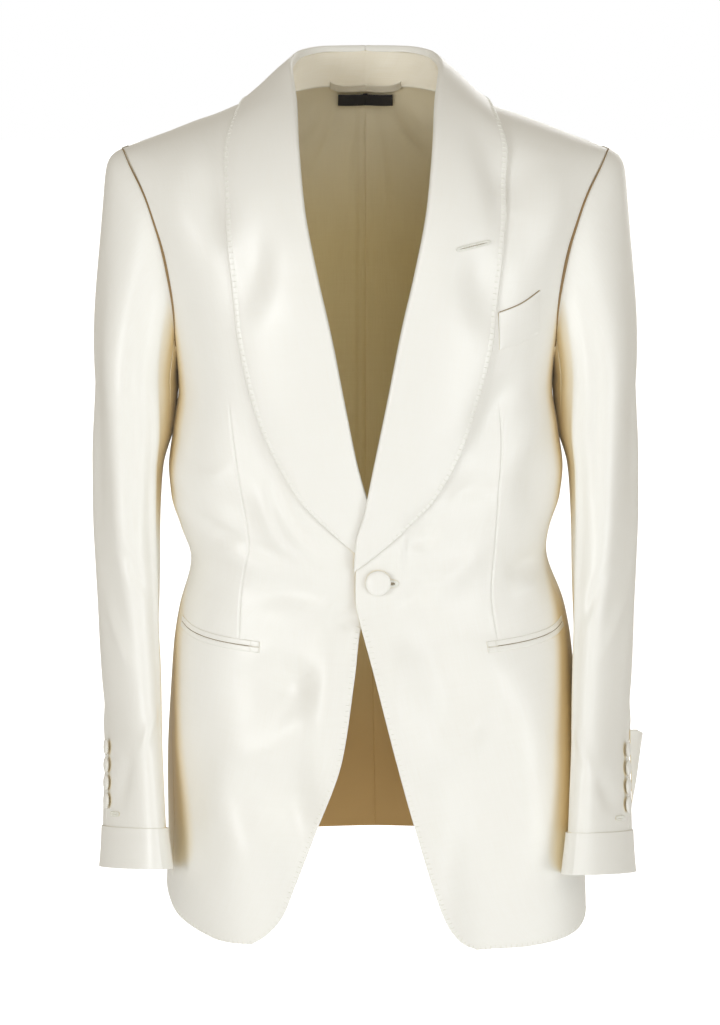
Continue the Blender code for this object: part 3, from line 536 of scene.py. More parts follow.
def fractions(count, width):
    """count even fractions between two rolled edges of a strip of that width."""
    edge = edge_steps(width)
    middle = np.linspace(edge[-1], 1 - edge[-1], count)[1:-1]
    return np.concatenate([edge, middle, 1 - edge[::-1]])


# ---------------------------------------------------------------- meshes


def running(points, axis):
    """Length along a grid's lines from its first row or column."""
    step = np.linalg.norm(np.diff(points, axis=axis), axis=-1)
    total = np.cumsum(step, axis=axis)
    return np.insert(total, 0, 0, axis=axis)


def border_distance(points, ring=False):
    """Distance along the cloth to its nearest border."""
    up = running(points, 0)
    near = np.minimum(up, up[-1:] - up)
    if ring:
        return near
    across = running(points, 1)
    return np.minimum(near, np.minimum(across, across[:, -1:] - across))


def grid_normals(points, away_from=INSIDE, ring=False):
    """Unit normals of a grid, from its central differences, turned away from a point or a column
    of points."""
    if ring:
        across = np.roll(points, -1, axis=1) - np.roll(points, 1, axis=1)
    else:
        across = np.gradient(points, axis=1)
    normals = unit(np.cross(across, np.gradient(points, axis=0)))
    centre = np.broadcast_to(np.asarray(away_from, float), (len(points), 3))[:, None]
    return normals * (1 if np.sum(normals * (points - centre)) > 0 else -1)


def new_mesh(name, vertices, faces, uvs=None):
    """A mesh from arrays of vertices and faces, with the cloth's own lengths as its UV map."""
    mesh = bpy.data.meshes.new(name)
    mesh.from_pydata(vertices.reshape(-1, 3).tolist(), [], faces)
    if uvs is not None:
        layer = mesh.uv_layers.new(name="cloth")
        layer.uv.foreach_set("vector", uvs.astype(np.float32).ravel())
    mesh.shade_smooth()
    return mesh


def piece(name, mesh, material, slot, *stands_for):
    """An object for the mesh that rides on the jacket, takes its finish, and stands for the solids
    it is named with. The slot that it is given is not used."""
    made = bpy.data.objects.new(name, mesh)
    bpy.context.scene.collection.objects.link(made)
    mesh.materials.append(bpy.data.materials[material])
    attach(made, BODY)
    if stands_for:
        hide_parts(*stands_for)
    return made


def shell(name, points, thickness, away_from=INSIDE, ring=False, roll=1.1 * MM):
    """A closed cloth through a grid of points, its outer face. The inner face lies a thickness
    inwards, and near a border both bend to the middle along a quarter ellipse of the roll's reach,
    where they share the border's points."""
    normals = grid_normals(points, away_from, ring)
    reach = np.clip(border_distance(points, ring) / roll, 0, 1)
    bend = thickness / 2 * (1 - np.sqrt(1 - (1 - reach) ** 2))
    outer = points - normals * bend[..., None]
    inner = points - normals * (thickness - bend)[..., None]
    rows, columns = points.shape[:2]
    number = np.arange(rows * columns).reshape(rows, columns)
    inside = number.copy()
    part = (slice(1, -1), slice(None)) if ring else (slice(1, -1), slice(1, -1))
    count = inside[part].size
    inside[part] = rows * columns + np.arange(count).reshape(inside[part].shape)
    vertices = np.concatenate([outer.reshape(-1, 3), inner[part].reshape(-1, 3)])
    width, height = running(points, 1), running(points, 0)
    if ring:
        last = np.linalg.norm(points[:, :1] - points[:, -1:], axis=-1)
        width = np.concatenate([width, width[:, -1:] + last], axis=1)
        height = np.concatenate([height, height[:, :1]], axis=1)
        number, inside = (np.concatenate([n, n[:, :1]], axis=1) for n in (number, inside))
    uv = np.stack([width, height], axis=-1)
    corners = [(slice(None, -1), slice(None, -1)), (slice(None, -1), slice(1, None)),
               (slice(1, None), slice(1, None)), (slice(1, None), slice(None, -1))]
    outer_faces = np.stack([number[c] for c in corners], axis=-1).reshape(-1, 4)
    inner_faces = np.stack([inside[c] for c in corners], axis=-1).reshape(-1, 4)
    face_uv = np.stack([uv[c] for c in corners], axis=-2).reshape(-1, 4, 2)
    first = vertices[outer_faces]
    facing = np.cross(first[:, 2] - first[:, 0], first[:, 3] - first[:, 1])
    wanted = normals if not ring else np.concatenate([normals, normals[:, :1]], axis=1)
    if np.sum(facing * wanted[:-1, :-1].reshape(-1, 3)) < 0:
        outer_faces, inner_faces = outer_faces[:, ::-1], inner_faces[:, ::-1]
        face_uv = face_uv[:, ::-1]
    faces = np.concatenate([outer_faces, inner_faces[:, ::-1]])
    uvs = np.concatenate([face_uv, face_uv[:, ::-1]])
    return new_mesh(name, vertices, faces.tolist(), uvs)


def quads(rows, following):
    """The four-sided faces between each row of numbers and the next one round a ring."""
    corners = [rows[:-1], following[:-1], following[1:], rows[1:]]
    return np.stack(corners, axis=-1).reshape(-1, 4).tolist()


def tube(path, outwards, radius, closed=False, flat=1.0):
    """Vertices and faces of a thread along a path: at each point a circle in the plane of the
    sideways and outward directions, flattened outwards, its ends rounded off and capped."""
    sides = 8
    if closed:
        tangent = np.roll(path, -1, axis=0) - np.roll(path, 1, axis=0)
        radii = np.full(len(path), radius)
    else:
        tangent = np.gradient(path, axis=0)
        run = running(path[:, None], 0)[:, 0]
        near_end = np.clip(np.minimum(run, run[-1] - run) / radius, 0, 1)
        radii = radius * np.sqrt(np.clip(1 - (1 - near_end) ** 2, 0.04, 1))
    sideways = unit(np.cross(tangent, outwards))
    upwards = unit(np.cross(sideways, tangent))
    turn = np.linspace(0, 2 * math.pi, sides, endpoint=False)[:, None]
    ring = np.cos(turn) * sideways[:, None] + flat * np.sin(turn) * upwards[:, None]
    vertices = path[:, None] + radii[:, None, None] * ring
    number = np.arange(len(path) * sides).reshape(-1, sides)
    rows = np.concatenate([number, number[:1]]) if closed else number
    following = np.roll(rows, -1, axis=1)
    faces = quads(rows, following)
    if not closed:
        faces += [number[0][::-1].tolist(), number[-1].tolist()]
    return vertices.reshape(-1, 3), outward_faces(vertices.reshape(-1, 3), faces)


def outward_faces(vertices, faces):
    """The faces, all turned round if the volume they enclose comes out negative."""
    fans = np.array([[f[0], f[i], f[i + 1]] for f in faces for i in range(1, len(f) - 1)])
    a, b, c = (vertices[fans[:, k]] - vertices[0] for k in range(3))
    volume = np.sum(a * np.cross(b, c))
    return faces if volume > 0 else [list(f)[::-1] for f in faces]


def gathered(parts):
    """One list of vertices and one of faces from several (vertices, faces)."""
    offset, vertices, faces = 0, [], []
    for points, polygons in parts:
        vertices.append(points)
        faces += [[i + offset for i in polygon] for polygon in polygons]
        offset += len(points)
    return np.concatenate(vertices), faces


def copies(base, faces, places, axes):
    """The same small shape at many places: each copy's vertices are the base's coordinates times
    that place's three axes."""
    vertices = places[:, None] + np.einsum("vk,nkj->nvj", base, axes)
    count = len(base)
    moved = (np.array(faces)[None] + count * np.arange(len(places))[:, None, None]).reshape(-1, 4)
    return vertices.reshape(-1, 3), moved.tolist()


def axes_along(tangent, outwards):
    """Three axes at each place: along, sideways, outward."""
    first = unit(tangent)
    second = unit(np.cross(outwards, first))
    return np.stack([first, second, np.cross(first, second)], axis=1)


def stitch_shape(length, radius):
    """One stitch of thread: an ellipse swept along an arch, sunk at both ends."""
    t = np.array([-1, -0.92, -0.6, 0, 0.6, 0.92, 1])
    thick = radius * np.array([0.25, 0.7, 1, 1, 1, 0.7, 0.25])
    turn = np.linspace(0, 2 * math.pi, 6, endpoint=False)
    arch = radius * (0.9 * (1 - t**2) - 0.5)
    vertices = np.stack([
        (t * length / 2)[:, None] + 0 * turn,
        thick[:, None] * np.cos(turn),
        arch[:, None] + thick[:, None] * np.sin(turn),
    ], axis=-1)
    number = np.arange(vertices[..., 0].size).reshape(len(t), -1)
    following = np.roll(number, -1, axis=1)
    corners = [number[:-1], number[1:], following[1:], following[:-1]]
    faces = np.stack(corners, axis=-1).reshape(-1, 4).tolist()
    last = number[-1]
    faces += [[0, 1, 2, 3], [0, 3, 4, 5], last[3::-1].tolist(), [*last[5:2:-1].tolist(), last[0]]]
    return vertices.reshape(-1, 3), outward_faces(vertices.reshape(-1, 3), faces)


# ---------------------------------------------------------------- the panels


def warped(columns, dart_column, dart):
    """Columns bent row by row so that one of them follows the dart's fraction of the width: each
    part, up to the dart and beyond it, is stretched evenly."""
    low = columns / dart_column * dart
    high = 1 - (1 - columns) / (1 - dart_column) * (1 - dart)
    return np.where(columns < dart_column, low, high)


def dart_fraction(hand, v, seams):
    """Fraction of the front's width at which the dart lies, for rows at fractions v."""
    column = "left_x" if hand > 0 else "right_x"
    inner, outer = along(seams[0], v), along(seams[1], v)
    height = (CHEST_Z + (inner[:, 1] + outer[:, 1]) / 2) / MM
    x = smooth(height, FRONT_DART["z"], FRONT_DART[column])
    angle, _ = place(x, height, hand)
    return (angle - inner[:, 0]) / (outer[:, 0] - inner[:, 0])


DART_COLUMN = 0.7  # the dart's usual fraction of a front's width
BESIDE_DART = np.array([-4, -2.4, -1.4, -0.8, -0.4, 0, 0.4, 0.8, 1.4, 2.4, 4]) * MM
FRONT_WIDTH, FRONT_LENGTH = 0.16, 0.70


def front_points(hand):
    """A front's outer face: the patch between its seams, a column along the dart with its groove
    and the fine ridges that its stitches raise on both sides."""
    seams = front_seams(hand)
    ends = edge_steps(FRONT_LENGTH)
    v = np.concatenate([ends, np.linspace(0.0046, 0.9954, 236)[1:-1], 1 - ends[::-1]])
    near, edge = BESIDE_DART / FRONT_WIDTH, edge_steps(FRONT_WIDTH)
    columns = np.concatenate([
        edge,
        np.linspace(edge[-1], DART_COLUMN + near[0], 44)[1:-1],
        DART_COLUMN + near,
        np.linspace(DART_COLUMN + near[-1], 1 - edge[-1], 22)[1:-1],
        1 - edge[::-1],
    ])
    dart = np.clip(dart_fraction(hand, v, seams), 0.45, 0.85)[:, None]
    u = warped(columns[None, :], DART_COLUMN, dart)
    angle, rise = blended(*seams, u, v[:, None] + 0 * u)
    points = form(angle, rise)
    z, across = points[..., 2] / MM, running(points, 1)
    middle = int(np.argmin(np.abs(columns - DART_COLUMN)))
    apart = (across - across[:, middle : middle + 1]) / MM
    bottom, top = FRONT_DART["z"][0], FRONT_DART["z"][-1]
    length = eased((z - bottom) / 14) * eased((top - z) / 22)
    groove = -0.85 * bell(apart, 0.6) + 0.2 * bell(np.abs(apart), 1.3, 2.2)
    pucker = 0.16 * np.sin(z * 0.9 + 0.7 * np.sin(z * 0.23)) * bell(apart, 4)
    return draped(angle, rise, front_out(angle, rise, hand) + (groove + pucker) * length * MM)


def inset(points, by=SEAM_INSET):
    """The grid with its border drawn in a little, to leave a hair's gap at each seam."""
    points = points.copy()
    for _ in range(2):
        for edge, inside in ((0, 3), (-1, -4)):
            inwards = unit(points[inside] - points[edge])
            points[edge] += by * inwards
            points[1 if edge == 0 else -2] += by * inwards * 0.5
        points = points.swapaxes(0, 1)
    return points


def plain_panel(seams, rows, columns, width, length):
    """A panel's outer face with no dart: the patch between its seams on the folded form."""
    u, v = fractions(columns, width)[None, :], fractions(rows, length)[:, None]
    u, v = np.broadcast_arrays(u, v)
    angle, rise = blended(*seams, u, v)
    return draped(angle, rise, 0 * rise)


def neck_stations(hand):
    """Points of the neck seam, and of the collar's roll above each."""
    foot = form(*place(SHAWL_FOOT["x"], SHAWL_FOOT["z"], hand, SHAWL_FOOT["side"]))
    roll = np.stack([hand * np.array(NECK_ROLL["x"]), NECK_ROLL["y"], NECK_ROLL["z"]], axis=-1) * MM
    return foot, roll


def finer_rows(points, fine):
    """Rows of the grid at any row numbers, on smooth curves through its own."""
    row = np.arange(len(points))
    flat = points.reshape(len(points), -1)
    made = np.stack([smooth(fine, row, flat[:, k]) for k in range(flat.shape[1])], axis=-1)
    return made.reshape(len(fine), *points.shape[1:])


def shawl_rows(hand, u):
    """The collar's sections, at fractions u from the roll line to the outer edge: the form lifted
    by the collar's thickness and its roll; round the neck, by the whole stand. Also the line under
    the roll where the collar starts."""
    roll = ROLL_LINE_LEFT if hand > 0 else ROLL_LINE_RIGHT
    chest = np.array(place(roll["x"][1:], roll["z"][1:], hand))
    neck = np.array(place(SHAWL_FOOT["x"][1:], SHAWL_FOOT["z"][1:], hand, SHAWL_FOOT["side"][1:]))
    foot = np.concatenate([chest, neck], axis=1)
    edge = np.array(place(SHAWL_EDGE["x"], SHAWL_EDGE["z"], hand, SHAWL_EDGE["side"]))
    edge[0, -1] = foot[0, -1] = hand * 180
    row = np.arange(foot.shape[1])[:, None]
    u = u[None, :]
    angle = (1 - u) * foot[0][:, None] + u * edge[0][:, None]
    rise = (1 - u) * foot[1][:, None] + u * edge[1][:, None]
    last = len(row) - 1
    grown = np.clip(row / SHAWL_FLAT_ROWS, 0, 1) * np.clip((last - row) / SHAWL_FLAT_ROWS, 0, 1)
    out = LIE_GAP + SHAWL_CLOTH + SHAWL_ROLL_LIFT * grown * (1 - u) ** 2 + 0 * angle
    out = front_out(angle, rise, hand, out)
    points = form(angle, rise) + outward(angle, rise) * out[..., None]
    feet, rolls = neck_stations(hand)
    stand = np.zeros((len(row), 3))
    stand[-len(feet) + 1 :] = (rolls - feet)[1:]
    lapped = front_out(foot[0], foot[1], hand) - SHAWL_TUCK
    under = form(foot[0], foot[1]) + outward(foot[0], foot[1]) * lapped[:, None]
    behind_roll = unit(rolls[1:] * (1, 1, 0))
    under[-len(feet) + 1 :] = rolls[1:] + (0, 0, -3.2 * MM) - 1.6 * MM * behind_roll
    return points + stand[:, None, :] * ((1 - u) ** 0.9)[..., None], under


SHAWL_ROW_COUNT = 390
SHAWL_SECTION_STEPS = 24
SHAWL_JOIN, SHAWL_JOIN_LAP = 0.5 * MM, 0.8 * MM  # how far the halves close up at the centre back
SHAWL_EDGE_STEPS = MM * np.array(
    [0, 0.15, 0.4, 0.8, 1.3, 2, 3, 4, 4.6, 4.9, 5.2, 5.5, 5.8, 6.4, 7.6, 9.5]
)
STITCH_INSET = 3.4 * MM
STITCH_PITCH = 5.0 * MM
STITCH_LENGTH = 3.6 * MM
STITCH_RADIUS = 0.34 * MM
BELOW_BUTTON_Z = -455 * MM
THREAD_PITCH, THREAD_RADIUS = 0.62 * MM, 0.24 * MM


def shawl_points(hand):
    """The shawl collar's face. Its columns start under the roll, turn over it along a half ellipse,
    and run to the outer edge, whose last ones keep their distance from it. A line of stitches
    dimples the cloth inside the edge, and the facing bellies a little between."""
    edge_in = SHAWL_EDGE_STEPS
    rows = np.linspace(0, len(SHAWL_EDGE["x"]) - 1, SHAWL_ROW_COUNT)
    rows[:6] = np.array([0, 0.004, 0.01, 0.018, 0.028, 0.04])
    skeleton, under = shawl_rows(hand, np.linspace(0, 1, SHAWL_SECTION_STEPS + 1))
    skeleton = finer_rows(skeleton, rows)
    under = finer_rows(under[:, None], rows)[:, 0]
    total = running(skeleton, 1)[:, -1:]
    reach = np.minimum(1, 0.55 * total / edge_in[-1])
    beyond = (1 - np.minimum(edge_in * reach / total, 1))[:, ::-1]
    inner = np.linspace(0, 1, 30)[None, :-1] * beyond[:, :1]
    u = np.concatenate([inner, beyond], axis=1)
    at = u * SHAWL_SECTION_STEPS
    low = np.clip(at.astype(int), 0, SHAWL_SECTION_STEPS - 1)
    part = (at - low)[..., None]
    pick = np.arange(len(rows))[:, None]
    points = skeleton[pick, low] * (1 - part) + skeleton[pick, low + 1] * part
    across = total * u
    from_edge = total - across
    run = running(skeleton, 0)[:, -1:]
    narrow = np.clip(total / (14 * MM), 0, 1)
    dimple = -0.12 * bell(from_edge, 0.9 * MM, 5.4 * MM)
    swell = 0.12 * bell(from_edge, 1.6 * MM, 2.4 * MM)
    belly = 1.5 * np.sin(math.pi * np.clip(u, 0, 1)) ** 1.2 * np.clip(total / 0.06, 0, 1)
    uneven = ripple(run / (33 * MM), across / (21 * MM), 0.32) * np.clip(from_edge / (6 * MM), 0, 1)
    size = bpy.context.scene.jacket_cloth.fold_size
    facing = grid_normals(points)
    x, z = points[..., 0], points[..., 2]
    follow = fold_height(x, z, FRONT_FOLDS) * eased(-points[..., 1] / 0.05) * size
    height = ((dimple + swell) * narrow + belly + uneven) * MM + follow
    points = points + facing * height[..., None]
    points[-1, :, 0] -= hand * SHAWL_JOIN
    first, start = points[:, :1], under[:, None]
    middle, arm = (first + start) / 2, (first - start) / 2
    side = -unit(points[:, 3:4] - points[:, :1])
    turn = np.linspace(-math.pi / 2, math.pi / 2, 12)[None, :-1, None]
    depth = np.linalg.norm(arm, axis=-1, keepdims=True)
    turned = middle + np.sin(turn) * arm + np.cos(turn) * depth * 0.75 * side
    whole = np.concatenate([turned, points], axis=1)
    whole[-1, :, 0] -= hand * SHAWL_JOIN_LAP
    return whole


COLLAR_STAND_ROWS = 170


def collar_stand_points():
    """The inside of the collar round the neck, from the neck seam up to just under the roll."""
    halves = []
    for hand in (-1, 1):
        feet, rolls = neck_stations(hand)
        inwards = -unit(rolls * (1, 1, 0))
        low = feet + inwards * 7.4 * MM - (0, 0, 5.5 * MM)
        high = rolls + inwards * 1.3 * MM - (0, 0, 1.4 * MM)
        part = np.linspace(0, 1, 26)[None, :, None]
        bow = np.sin(part * math.pi) * 1.6 * MM
        grid = low[:, None] * (1 - part) + high[:, None] * part - inwards[:, None] * bow
        halves.append(grid[1:])
    whole = np.concatenate([halves[0], halves[1][-2::-1]])
    points = finer_rows(whole, np.linspace(0, len(whole) - 1, COLLAR_STAND_ROWS))
    across, up = running(points, 0), running(points, 1)
    seam = -0.6 * bell(across, 0.9 * MM, across[-1:] / 2)
    wrinkle = ripple(across / (9 * MM), up / (14 * MM), 1.1)
    wrinkle = wrinkle * np.sin(math.pi * up / up[:, -1:]) ** 2
    normals = -grid_normals(points, INSIDE_COLLAR)
    return points + normals * (seam + wrinkle)[..., None] * MM


# ---------------------------------------------------------------- the sleeves


def sleeve_level(z, column):
    """One of the sleeve's measures at a height."""
    return smooth(-z / MM, -np.array(SLEEVE["z"], float), SLEEVE[column])


def sleeve_depth(z, hand):
    """How far back the sleeve's middle lies at a height."""
    return sleeve_level(z, "depth_left" if hand > 0 else "depth_right") * MM


def armhole_loop(turn, hand):
    """Point of the armhole at a turn round the sleeve: -90 at the underarm, 0 at the front, 90 at
    the shoulder, by length along the armhole's front and back halves."""
    under = np.array(UNDERARM["angle"], float), np.array(UNDERARM["rise"]) * MM
    middle = len(under[0]) // 2
    under_front = hand * under[0][:middle][::-1], under[1][:middle][::-1]
    under_back = hand * under[0][middle:], under[1][middle:]
    share = np.linspace(0, 1, 181)
    front = along(joined(under_front, armhole("front", hand)), share)
    back = along(joined(under_back, armhole("back", hand)), share)
    turn = np.mod(turn + 90, 360) - 90
    on_front = turn <= 90
    part = np.where(on_front, (turn + 90) / 180, (270 - turn) / 180)
    found = []
    for k in range(2):
        ahead, behind = np.interp(part, share, front[:, k]), np.interp(part, share, back[:, k])
        found.append(np.where(on_front, ahead, behind))
    return form(*found)


def sleeve_ring(turn, z, hand, grow=0.0):
    """Points of the sleeve's face: a twisted ellipse at each level, tilted as the arm bends."""
    narrow, long = (sleeve_level(z, column) * MM + grow for column in ("narrow", "long"))
    twist, t = np.radians(sleeve_level(z, "twist")), np.radians(turn)
    outwards = narrow * np.sin(t) * np.cos(twist) - long * np.cos(t) * np.sin(twist)
    back = -narrow * np.sin(t) * np.sin(twist) - long * np.cos(t) * np.cos(twist)
    first, last = SLEEVE["z"][0] * MM, SLEEVE["z"][-1] * MM
    drop = RIGHT_SLEEVE_DROP * (z - first) / (last - first) if hand < 0 else 0
    height = z - sleeve_level(z, "tilt") * back - drop
    x = hand * (sleeve_level(z, "out") * MM + outwards)
    return np.stack(np.broadcast_arrays(x, sleeve_depth(z, hand) + back, height), axis=-1)


def sleeve_folds(turn, z, hand):
    """Sum of the sleeve's folds: height * exp(-(s / width)^2), s the distance round the sleeve from
    a line that runs from one turn to another, faded at its two ends."""
    folds = SLEEVE_FOLDS_LEFT if hand > 0 else SLEEVE_FOLDS_RIGHT
    turn0, z0, turn1, z1, width, height = np.array(list(folds.values()), float)
    turn, z = np.broadcast_arrays(turn, z)
    t = (z[..., None] / MM - z0) / (z1 - z0)
    line = turn0 + (turn1 - turn0) * np.clip(t, 0, 1)
    apart = np.mod(turn[..., None] - line + 180, 360) - 180
    s = np.radians(apart) * SLEEVE_MEAN_RADIUS
    slant = np.radians(turn1 - turn0) * SLEEVE_MEAN_RADIUS / np.abs(z1 - z0)
    s = s / np.sqrt(1 + slant**2)
    fade = eased((t + 0.15) / 0.55) * eased((1.15 - t) / 0.55)
    size = SLEEVE_FOLD_SHARE * bpy.context.scene.jacket_cloth.fold_size
    total = np.sum(height * bell(s, width) * fade, axis=-1)
    return size * (total * MM + ripple(turn / 21, z / (30 * MM), 0.3 * MM))


def sleeve_points(first, last, hand, columns):
    """A sleeve's face between two of its seams. The head runs from the armhole to the first level
    on cubic curves that arrive pointing down, and stands out past the shoulder seam; below it the
    sleeve is a ring at each level. Folds, the head's gathers and a soft fullness towards the body
    move the face out."""
    near_seam = [0, 0.0012, 0.0035, 0.007, 0.012, 0.02]
    s = np.concatenate([near_seam, np.linspace(0.03, 1, 62)[:-1]])[:, None, None]
    z = np.linspace(SLEEVE["z"][0], SLEEVE["z"][-1], 170) * MM
    z[-7:] = SLEEVE["z"][-1] * MM + np.array([3.2, 2.0, 1.2, 0.7, 0.35, 0.12, 0]) * MM
    u = fractions(columns, SLEEVE_PANEL_WIDTH)[None, :]
    start_turn, end_turn = sleeve_level(z, first)[:, None], sleeve_level(z, last)[:, None]
    if last == "front_seam":
        end_turn = end_turn + 360
    turn = start_turn * (1 - u) + end_turn * u
    below = sleeve_ring(turn, z[:, None], hand)
    start, end = armhole_loop(turn[0], hand), below[0]
    chord = end - start
    arrive = np.array([0, 0, -1]) * np.linalg.norm(chord, axis=-1, keepdims=True)
    height = np.clip(np.sin(np.radians(turn[0])), 0, 1)[:, None]
    out = np.array([hand, 0, 0]) * SLEEVE_HEAD_ROPE * (0.2 + 0.8 * height)
    start = start + np.array([hand, 0, 0]) * SLEEVE_SET_GAP
    head = (
        (1 + 2 * s) * (1 - s) ** 2 * start
        + s**2 * (3 - 2 * s) * end
        + s * (1 - s) ** 2 * chord
        - s**2 * (1 - s) * arrive
        + out * (1 - np.exp(-s / SLEEVE_HEAD_TURN)) * (1 - s)
    )
    points = np.concatenate([head, below])
    turn = np.concatenate([np.broadcast_to(turn[:1], head.shape[:2]), turn])
    normals = grid_normals(points, sleeve_axis(points, hand))
    low = points[..., 2] / MM
    from_head = running(points, 0)
    gather = 0.28 * MM * np.sin(turn * 0.9) * np.exp(-from_head / (14 * MM))
    gather = gather * eased(from_head / (3 * MM)) * np.clip(np.sin(math.pi * u), 0, 1)
    towards_body = bell(np.mod(turn + 90 + 180, 360) - 180, 42)
    close = SLEEVE_FULLNESS * towards_body * eased((-low - 110) / 60) * eased((350 + low) / 60)
    heights = sleeve_folds(turn, points[..., 2], hand) * eased(from_head / (30 * MM))
    return points + normals * (heights + gather + close)[..., None]


def sleeve_axis(points, hand):
    """A point inside the sleeve for each row of its face, nearer the body in the head."""
    z = points[..., 2].mean(axis=1)
    low = np.clip(z, SLEEVE["z"][-1] * MM, SLEEVE["z"][0] * MM)
    out = sleeve_level(low, "out") * MM
    x = hand * np.where(z > low, out - 20 * MM, out)
    return np.stack([x, sleeve_depth(low, hand), z], axis=-1)


def armhole_tape(hand):
    """The tape sewn round the armhole behind its seam, a tube a little inside the loop."""
    loop = armhole_loop(np.linspace(-90, 270, 161)[:-1], hand)
    middle = loop.mean(axis=0)
    inwards = unit((middle - loop) * (0.4, 1, 1))
    path = loop + inwards * 2.1 * MM + np.array([hand, 0, 0]) * 0.1 * MM
    return tube(path, -inwards, 1.5 * MM, closed=True)


def armhole_shadow_cord(hand):
    """A dark cord in the seam down the armhole's front, thickening to the underarm: painted shadow.
    """
    turn = np.linspace(86, -62, 120)
    loop = armhole_loop(turn, hand)
    down = np.linspace(0, 1, 120)
    outwards = unit(np.array([hand * 0.35, -1, 0.0]) + 0 * loop)
    path = loop + outwards * (0.1 + 1.3 * down)[:, None] * MM + np.array([hand, 0, 0]) * 0.4 * MM
    radius = (0.36 + 1.25 * eased((down - 0.15) / 0.7)) * MM
    return tube(path, outwards, radius)


def cuff_points(hand):
    """The turned-back cuff: a band round the sleeve's end that follows its folds, lies close at the
    top and flares a little towards its lower edge."""
    turn = np.linspace(0, 360, 121)[:-1][None, :]
    v = fractions(16, CUFF_HEIGHT)[:, None]
    z = SLEEVE["z"][-1] * MM + CUFF_HEIGHT * (1 - v)
    grow = CUFF_STAND + CUFF_CLOTH + CUFF_FLARE * v**1.4 + sleeve_folds(turn, z, hand)
    grow = grow + ripple(turn / 17, z / (12 * MM), 0.3 * MM)
    return sleeve_ring(turn, z + 0 * turn, hand, grow=grow)


# ---------------------------------------------------------------- trims


def welt_points():
    """The chest welt's face: the front's form lifted by its cloth, its mouth standing off a little
    and its other edges sewn down."""
    edge = edge_steps(WELT_WIDTH)
    u = np.concatenate([edge, np.linspace(0.1, 0.9, 40), 1 - edge[::-1]])[None, :]
    v = np.concatenate([edge, np.linspace(0.1, 0.9, 34), 1 - edge[::-1]])[:, None]
    at = WELT["x"][0] + (WELT["x"][-1] - WELT["x"][0]) * u
    top, bottom = smooth(at, WELT["x"], WELT["top"]), smooth(at, WELT["x"], WELT["bottom"])
    angle, rise = place(at + 0 * v, top * (1 - v) + bottom * v)
    from_seam = np.minimum(np.minimum(u, 1 - u) * 36, (1 - v) * 36)
    sewn_down = 0.8 * MM * np.exp(-from_seam / 2.6) * (1 - np.exp(-v / 0.05))
    lift = 1.2 * MM - sewn_down + 0.3 * MM * np.exp(-v / 0.1)
    return draped(angle, rise, front_out(angle, rise, 1, lift))


def pocket_rise(angle):
    """Rise of the hip pocket's mouth at an angle."""
    return smooth(angle, HIP_POCKET["angle"], np.array(HIP_POCKET["rise"]) * MM)


def jet_points(hand, bottom, top):
    """One jet of a hip pocket: a narrow strip along the pocket's curve, rounded across."""
    ends = np.array([0, 0.002, 0.006, 0.012])
    u = np.concatenate([ends, np.linspace(0.02, 0.98, 90), 1 - ends[::-1]])[None, :]
    v = np.linspace(0, 1, 15)[:, None]
    angle = HIP_POCKET["angle"][0] + (HIP_POCKET["angle"][-1] - HIP_POCKET["angle"][0]) * u
    rise = pocket_rise(angle) + bottom + (top - bottom) * v
    round_over = 0.15 * MM * np.sin(math.pi * v) + ripple(u * 26, v, 0.12 * MM)
    out = 0.6 * MM + round_over + 0 * rise
    angle = hand * angle + 0 * rise
    return draped(angle, rise, front_out(angle, rise, hand, out))


def cord(angle, rise, hand, lift, radius, flat=0.8):
    """A flattened cord laid along a line of the front, a height above its cloth."""
    path = draped(angle, rise, front_out(angle, rise, hand, lift))
    return tube(path, outward(angle, rise), radius, flat=flat)


def revolved(radii, heights, count=48):
    """Vertices and faces of a profile turned round its axis: rings of points at each radius and
    height, and one point where the profile starts and ends on the axis."""
    turn = np.linspace(0, 2 * math.pi, count, endpoint=False)
    r, z = np.array(radii[1:-1])[:, None], np.array(heights[1:-1])[:, None]
    rings = np.stack(np.broadcast_arrays(r * np.cos(turn), r * np.sin(turn), z), axis=-1)
    vertices = np.concatenate([rings.reshape(-1, 3), [[0, 0, heights[0]], [0, 0, heights[-1]]]])
    number = np.arange(len(rings) * count).reshape(len(rings), count)
    following = np.roll(number, -1, axis=1)
    faces = quads(number, following)
    start, end = len(vertices) - 2, len(vertices) - 1
    faces += [[start, b, a] for a, b in zip(number[0].tolist(), following[0].tolist())]
    faces += [[end, a, b] for a, b in zip(number[-1].tolist(), following[-1].tolist())]
    return vertices, outward_faces(vertices, faces)


def covered_button(radius, height):
    """A button covered in cloth: flat below, a rounded rim, and a crown that rises to the middle,
    with the cover's soft gathers at the rim."""
    t = np.linspace(0, 1, 16)
    crown_r = radius * np.sin(t * math.pi / 2)
    crown_z = height * (0.42 + 0.58 * np.cos(t * math.pi / 2) ** 0.9)
    rim = np.linspace(0, 1, 8)[1:]
    rim_r = radius * (1 - 0.3 * rim**2)
    rim_z = height * 0.42 * (1 - rim)
    radii = np.concatenate([[0], crown_r[1:], rim_r, [radius * 0.35, 0]])
    heights = np.concatenate([[height], crown_z[1:], rim_z, [0, 0]])
    vertices, faces = revolved(radii, heights)
    around = np.arctan2(vertices[:, 1], vertices[:, 0])
    far = np.hypot(vertices[:, 0], vertices[:, 1]) / radius
    low = vertices[:, 2] < 0.7 * height
    gather = 1 + 0.012 * np.sin(around * 17 + 1.3 * np.sin(3 * around)) * (far > 0.6) * low
    vertices[:, :2] *= gather[:, None]
    return vertices, faces


def button_at(shape, at, facing, node):
    """Makes a button that faces one way, from a shape that faces up, its axes turned sideways, up
    and outward."""
    third = unit(np.asarray(facing, float))
    first = unit(np.cross((0, 0, 1), third))
    vertices, faces = shape
    vertices = vertices @ np.stack([first, np.cross(third, first), third]) + at
    mesh = new_mesh(f"satin_{node}", vertices, faces)
    piece(f"satin_{node}", mesh, "button_satin", IVORY, node)


